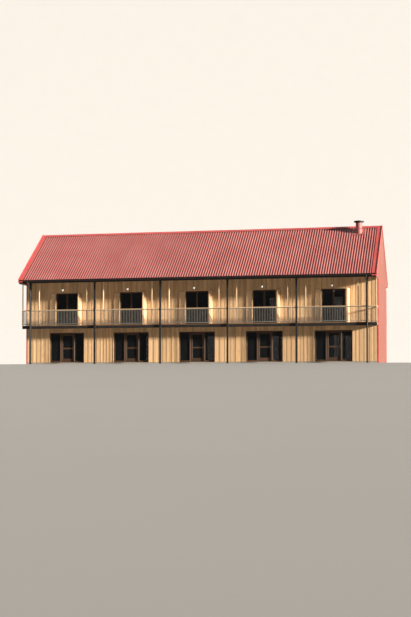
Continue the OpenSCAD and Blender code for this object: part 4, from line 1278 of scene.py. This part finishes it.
def makeGableTrims():
    trims, screws = Shape(101), Shape()
    foot, headFoot = span("gable_cladding", 2)[0], span("gable_heads", 2)[0]
    face, ribs, cut = halfLength + gable["deep"], gable["ribs"], gable["cut"]
    (near, far), (proud, wrap) = gable["cornerOut"], gable["wrap"]
    rows = product(range(int(2 * wallFace / ribs)), gable["rows"])
    spots = [(gable["start"] - wallFace + i * ribs, z) for i, z in rows]
    for z in gable["headRows"]:
        count = int(min((apex - z) / slopeTan - gable["headClear"], gable["headReach"]) / ribs)
        spots += [(i * ribs + gable["start"], z) for i in range(-count, count + 1)]

    # A level strip with a lip that hangs from its outer edge
    def drip(end, half, top, size):
        down, thick, deep = size
        near, out, top = halfLength + gable["out"][0], face + gable["out"][1], top - down
        trims.bar(across(end, near, out), (-half, half), (top - thick, top), cut)
        trims.bar(across(end, out - gable["lip"], out), (-half, half), (top - deep, top), cut)

    for end in (-1, 1):
        for y, z in spots:
            place = Matrix.Translation((end * (halfLength + gable["plate"]), y, z))
            sheetScrew(screws, place @ Matrix.Rotation(math.pi / 2 * end, 4, "Y"), (0, 0, 0), gable["screw"])
        for side in (-1, 1):
            y = across(side, wallFace - gable["corner"], wallFace + gable["thick"])
            trims.bar(across(end, face + near, face + far), y, (foot, headFoot), cut)
            if side < 0:
                y = across(side, wallFace + proud, wallFace + gable["thick"])
                trims.bar(across(end, halfLength - wrap, face + far), y, (foot, headFoot), cut)
        drip(end, wallFace, foot, gable["foot"])
        drip(end, fasciaLine - gable["headIn"], headFoot, gable["head"])
    trims.piece("gable_trims", "trim", "red_sheet")
    screws.piece("gable_screws", "trim", "red_sheet", smooth=30)


screen = {"rib": 0.178, "deep": 0.022, "thick": 0.002, "shape": (0.55, 0.65, 0.9), "ends": (0.004, 0.002),
          "frame": (0.024, 0.04), "rail": 0.04, "stile": 0.03}


def makeScreens():
    sheets, rails = Shape(103), Shape()
    low, high = span("end_screens", 2)
    under = low, deckLow - gallery["joistDeep"], postInner - gallery["edgeThick"]
    rail, stile = screen["rail"], screen["stile"]
    for end, (z0, z1, reach) in product((-1, 1), (under, (floorTop, high, postInner))):
        count = round((reach - wallFace) / screen["rib"])
        wide = (reach - wallFace) / count
        out, back = end * halfLength, end * (halfLength - screen["deep"])
        outline = []
        for i in range(count):
            y = wallFace + i * wide
            rise, top, fall = (y + wide * share for share in screen["shape"])
            outline += [(back, y), (back, rise), (out, top), (out, fall)]
        outline.append((back, reach))
        thin = [(x - end * screen["thick"], y) for x, y in outline]
        sheets.between(outline, thin, (z0 + screen["ends"][0], z1 - screen["ends"][1]), 2)
        x = across(end, *(halfLength - deep for deep in screen["frame"]))
        for z in (z0, (z0 + z1 - rail) / 2, z1 - rail):
            rails.bar(x, (wallFace, reach), (z, z + rail), 0.002)
        for y in (wallFace, reach - stile):
            rails.bar(x, (y, y + stile), (z0, z1), 0.002)
    sheets.piece("screen_sheets", "gableSheet", "red_sheet", ("end_screens",))
    rails.piece("screen_frames", "trim", "red_sheet")


makeGableTrims()
makeScreens()


# Flue with its bands and storm collar
def makeFlue():
    stack, bands = Shape(), Shape()
    foot, top = span("flue", 2)
    x, y, r, turns = flue["x"], -flue["front"], flue["radius"], flue["sides"]
    inner, (proud, tall), (half, out, back, lower) = r - flue["wall"], flue["band"], flue["lug"]
    line = sheetLine(flue["front"])
    stack.lathe([(r, foot), (r, top), (inner, top), (inner, foot), (r, foot)], (x, y, 0), turns)
    for z in (line + flue["bandUp"], top - flue["bandDown"]):
        stack.lathe(collarLine(r, r + proud, z, tall, proud), (x, y, 0), turns)
        bands.bar((x - half, x + half), (y - r - out, y - r - back), (z + lower, z + tall - lower))
    stack.lathe([(r + away, line + up) for away, up in flue["storm"]], (x, y, 0), turns)
    stack.piece("flue_pipe", "flueSheet", "red_sheet", ("flue",), smooth=40)
    bands.piece("flue_band_lugs", "darkSteel", "dark_steel")


# Lamps: a glass globe on a rod under the eave beam in each bay
lamp = {"radius": 0.09, "below": 0.6, "ends": (-1.45, 1.2), "steps": 22, "neck": 0.03, "low": 0.93,
        "high": 0.96, "cap": ((0.034, 0.02), (0.012, 0.045), (0.007, 0.05)),
        "canopy": ((0.007, 0.03), (0.03, 0.028), (0.05, 0.01), (0.05, 0.0))}


def makeLamps():
    globes, rods = Shape(), Shape()
    r, z = lamp["radius"], beamLow - lamp["below"]
    curve = [(r * math.cos(a), r * math.sin(a)) for a in np.linspace(*lamp["ends"], lamp["steps"])]
    globe = [(0.001, -r), *curve, (lamp["neck"], r * lamp["high"])]
    rod = [(lamp["cap"][0][0], z + r * lamp["low"])] + [(out, z + r + up) for out, up in lamp["cap"]]
    rod += [(out, beamLow - down) for out, down in lamp["canopy"]]
    for mid in bayMids:
        globes.lathe(globe, (mid, -postMid, z), 36)
        rods.lathe(rod, (mid, -postMid, 0), 24)
    globes.piece("lamp_globes", "lamp", "lamp_glass", ("gallery_lamps",), smooth=60)
    rods.piece("lamp_rods", "darkSteel", "dark_steel", smooth=35)


makeFlue()
makeLamps()
print("details made")


# Finishes on the frame's own nodes that stay
kept = {"ground_slab": "slab", "left_gable_wall": "lining", "right_gable_wall": "lining",
        "gable_cladding": "gableSheet", "gable_heads": "gableSheet", "rafters": "rafters",
        "ridge_beam": "beams", "fascias": "darkSteel", "eave_beams": "beams", "main_posts": "darkSteel",
        "gallery_guards": "zinc", "fixed_glass": "glass", "flue_cap": "darkSteel", "flue_collar": "flueSheet"}
kept.update({f"door_glass_{number}": "glass" for number in range(1, bays["count"] + 1)})
for node, finish in kept.items():
    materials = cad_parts[node].data.materials
    if not materials:
        materials.append(finishes[finish])
    for i in range(len(materials)):
        materials[i] = finishes[finish]


# Floor, light and camera; a sun is its power, turn, rise, softness and tint
studio = {"background": (0.90, 0.93, 1.0, 1), "fill": 0.13, "floor": (0.36, 0.36, 0.35), "behind": 12.0,
          "flat": 6.5, "fall": 2.6, "past": (0.0, 2.0, 4.0, 8.0, 16.0, 40.0, 90.0, 200.0, 400.0), "ease": 3.0,
          "reach": 420.0, "wall": 160.0, "wallRows": (190.0, -12.0), "wallTint": (0.88, 0.89, 0.90),
          "key": (11.0, 75.0, 12.4, 5.0, (1.0, 0.90, 0.78)),
          "back fill": (0.9, 215.0, 38.0, 60.0, (1, 0.97, 0.94))}


def studioSheet(name, rows, tint):
    points = [(x, y, z) for y, z in rows for x in (-studio["reach"], studio["reach"])]
    faces = [[2 * i, 2 * i + 2, 2 * i + 3, 2 * i + 1] for i in range(len(rows) - 1)]
    mesh = bpy.data.meshes.new(name)
    mesh.from_pydata(points, [], faces)
    mesh.shade_smooth()
    tints = (*tint, 1), (*[c * 0.97 for c in tint], 1)
    mesh.materials.append(cloudyFinish(name, tints, (0.3, 2.0, 0.5), (0.05, 0.85)))
    made = bpy.data.objects.new(name, mesh)
    bpy.context.scene.collection.objects.link(made)
    return made


# The floor falls away in front, because the camera stands lower than the building's foot
def makeFloor():
    rise = math.tan(math.radians(studio["fall"]))
    rows = [(studio["reach"], 0.0), (studio["behind"], 0.0)]
    for past in studio["past"]:
        rows.append((-studio["flat"] - past, -rise * past * past / (past + studio["ease"])))
    studioSheet("studio_floor", rows, studio["floor"])
    wall = studioSheet("studio_wall", [(studio["wall"], z) for z in studio["wallRows"]], studio["wallTint"])
    wall.visible_shadow = False
    wall.visible_diffuse = False


def makeSun(name):
    power, turn, rise, soft, tint = studio[name]
    turn, rise = math.radians(turn), math.radians(rise)
    data = bpy.data.lights.new(name, "SUN")
    data.energy = power
    data.angle = math.radians(soft)
    data.color = tint
    made = bpy.data.objects.new(name, data)
    away = Vector((math.sin(turn) * math.cos(rise), -math.cos(turn) * math.cos(rise), math.sin(rise)))
    made.rotation_mode = "QUATERNION"
    made.rotation_quaternion = away.to_track_quat("Z", "Y")
    bpy.context.scene.collection.objects.link(made)


def makeWorld():
    world = bpy.data.worlds.new("studio")
    world.use_nodes = True
    back = world.node_tree.nodes["Background"]
    back.inputs["Color"].default_value = studio["background"]
    back.inputs["Strength"].default_value = studio["fill"]
    bpy.context.scene.world = world
    bpy.context.scene.view_settings.view_transform = "Standard"


# The camera stands where the photo's stood, with a longer lens
view = {"place": (19.43, -86.48, -1.5), "heading": 12.75, "tilt": 1.6, "lens": 71.0, "rise": 0.07,
        "far": 2000.0}


def makeCamera():
    data = bpy.data.cameras.new("camera")
    data.lens = view["lens"]
    data.sensor_width = 36.0
    data.shift_y = view["rise"]
    data.clip_end = view["far"]
    made = bpy.data.objects.new("camera", data)
    made.location = view["place"]
    made.rotation_euler = (math.radians(90 + view["tilt"]), 0, math.radians(view["heading"]))
    bpy.context.scene.collection.objects.link(made)
    bpy.context.scene.camera = made


makeFloor()
makeWorld()
makeSun("key")
makeSun("back fill")
makeCamera()
print("studio ready")
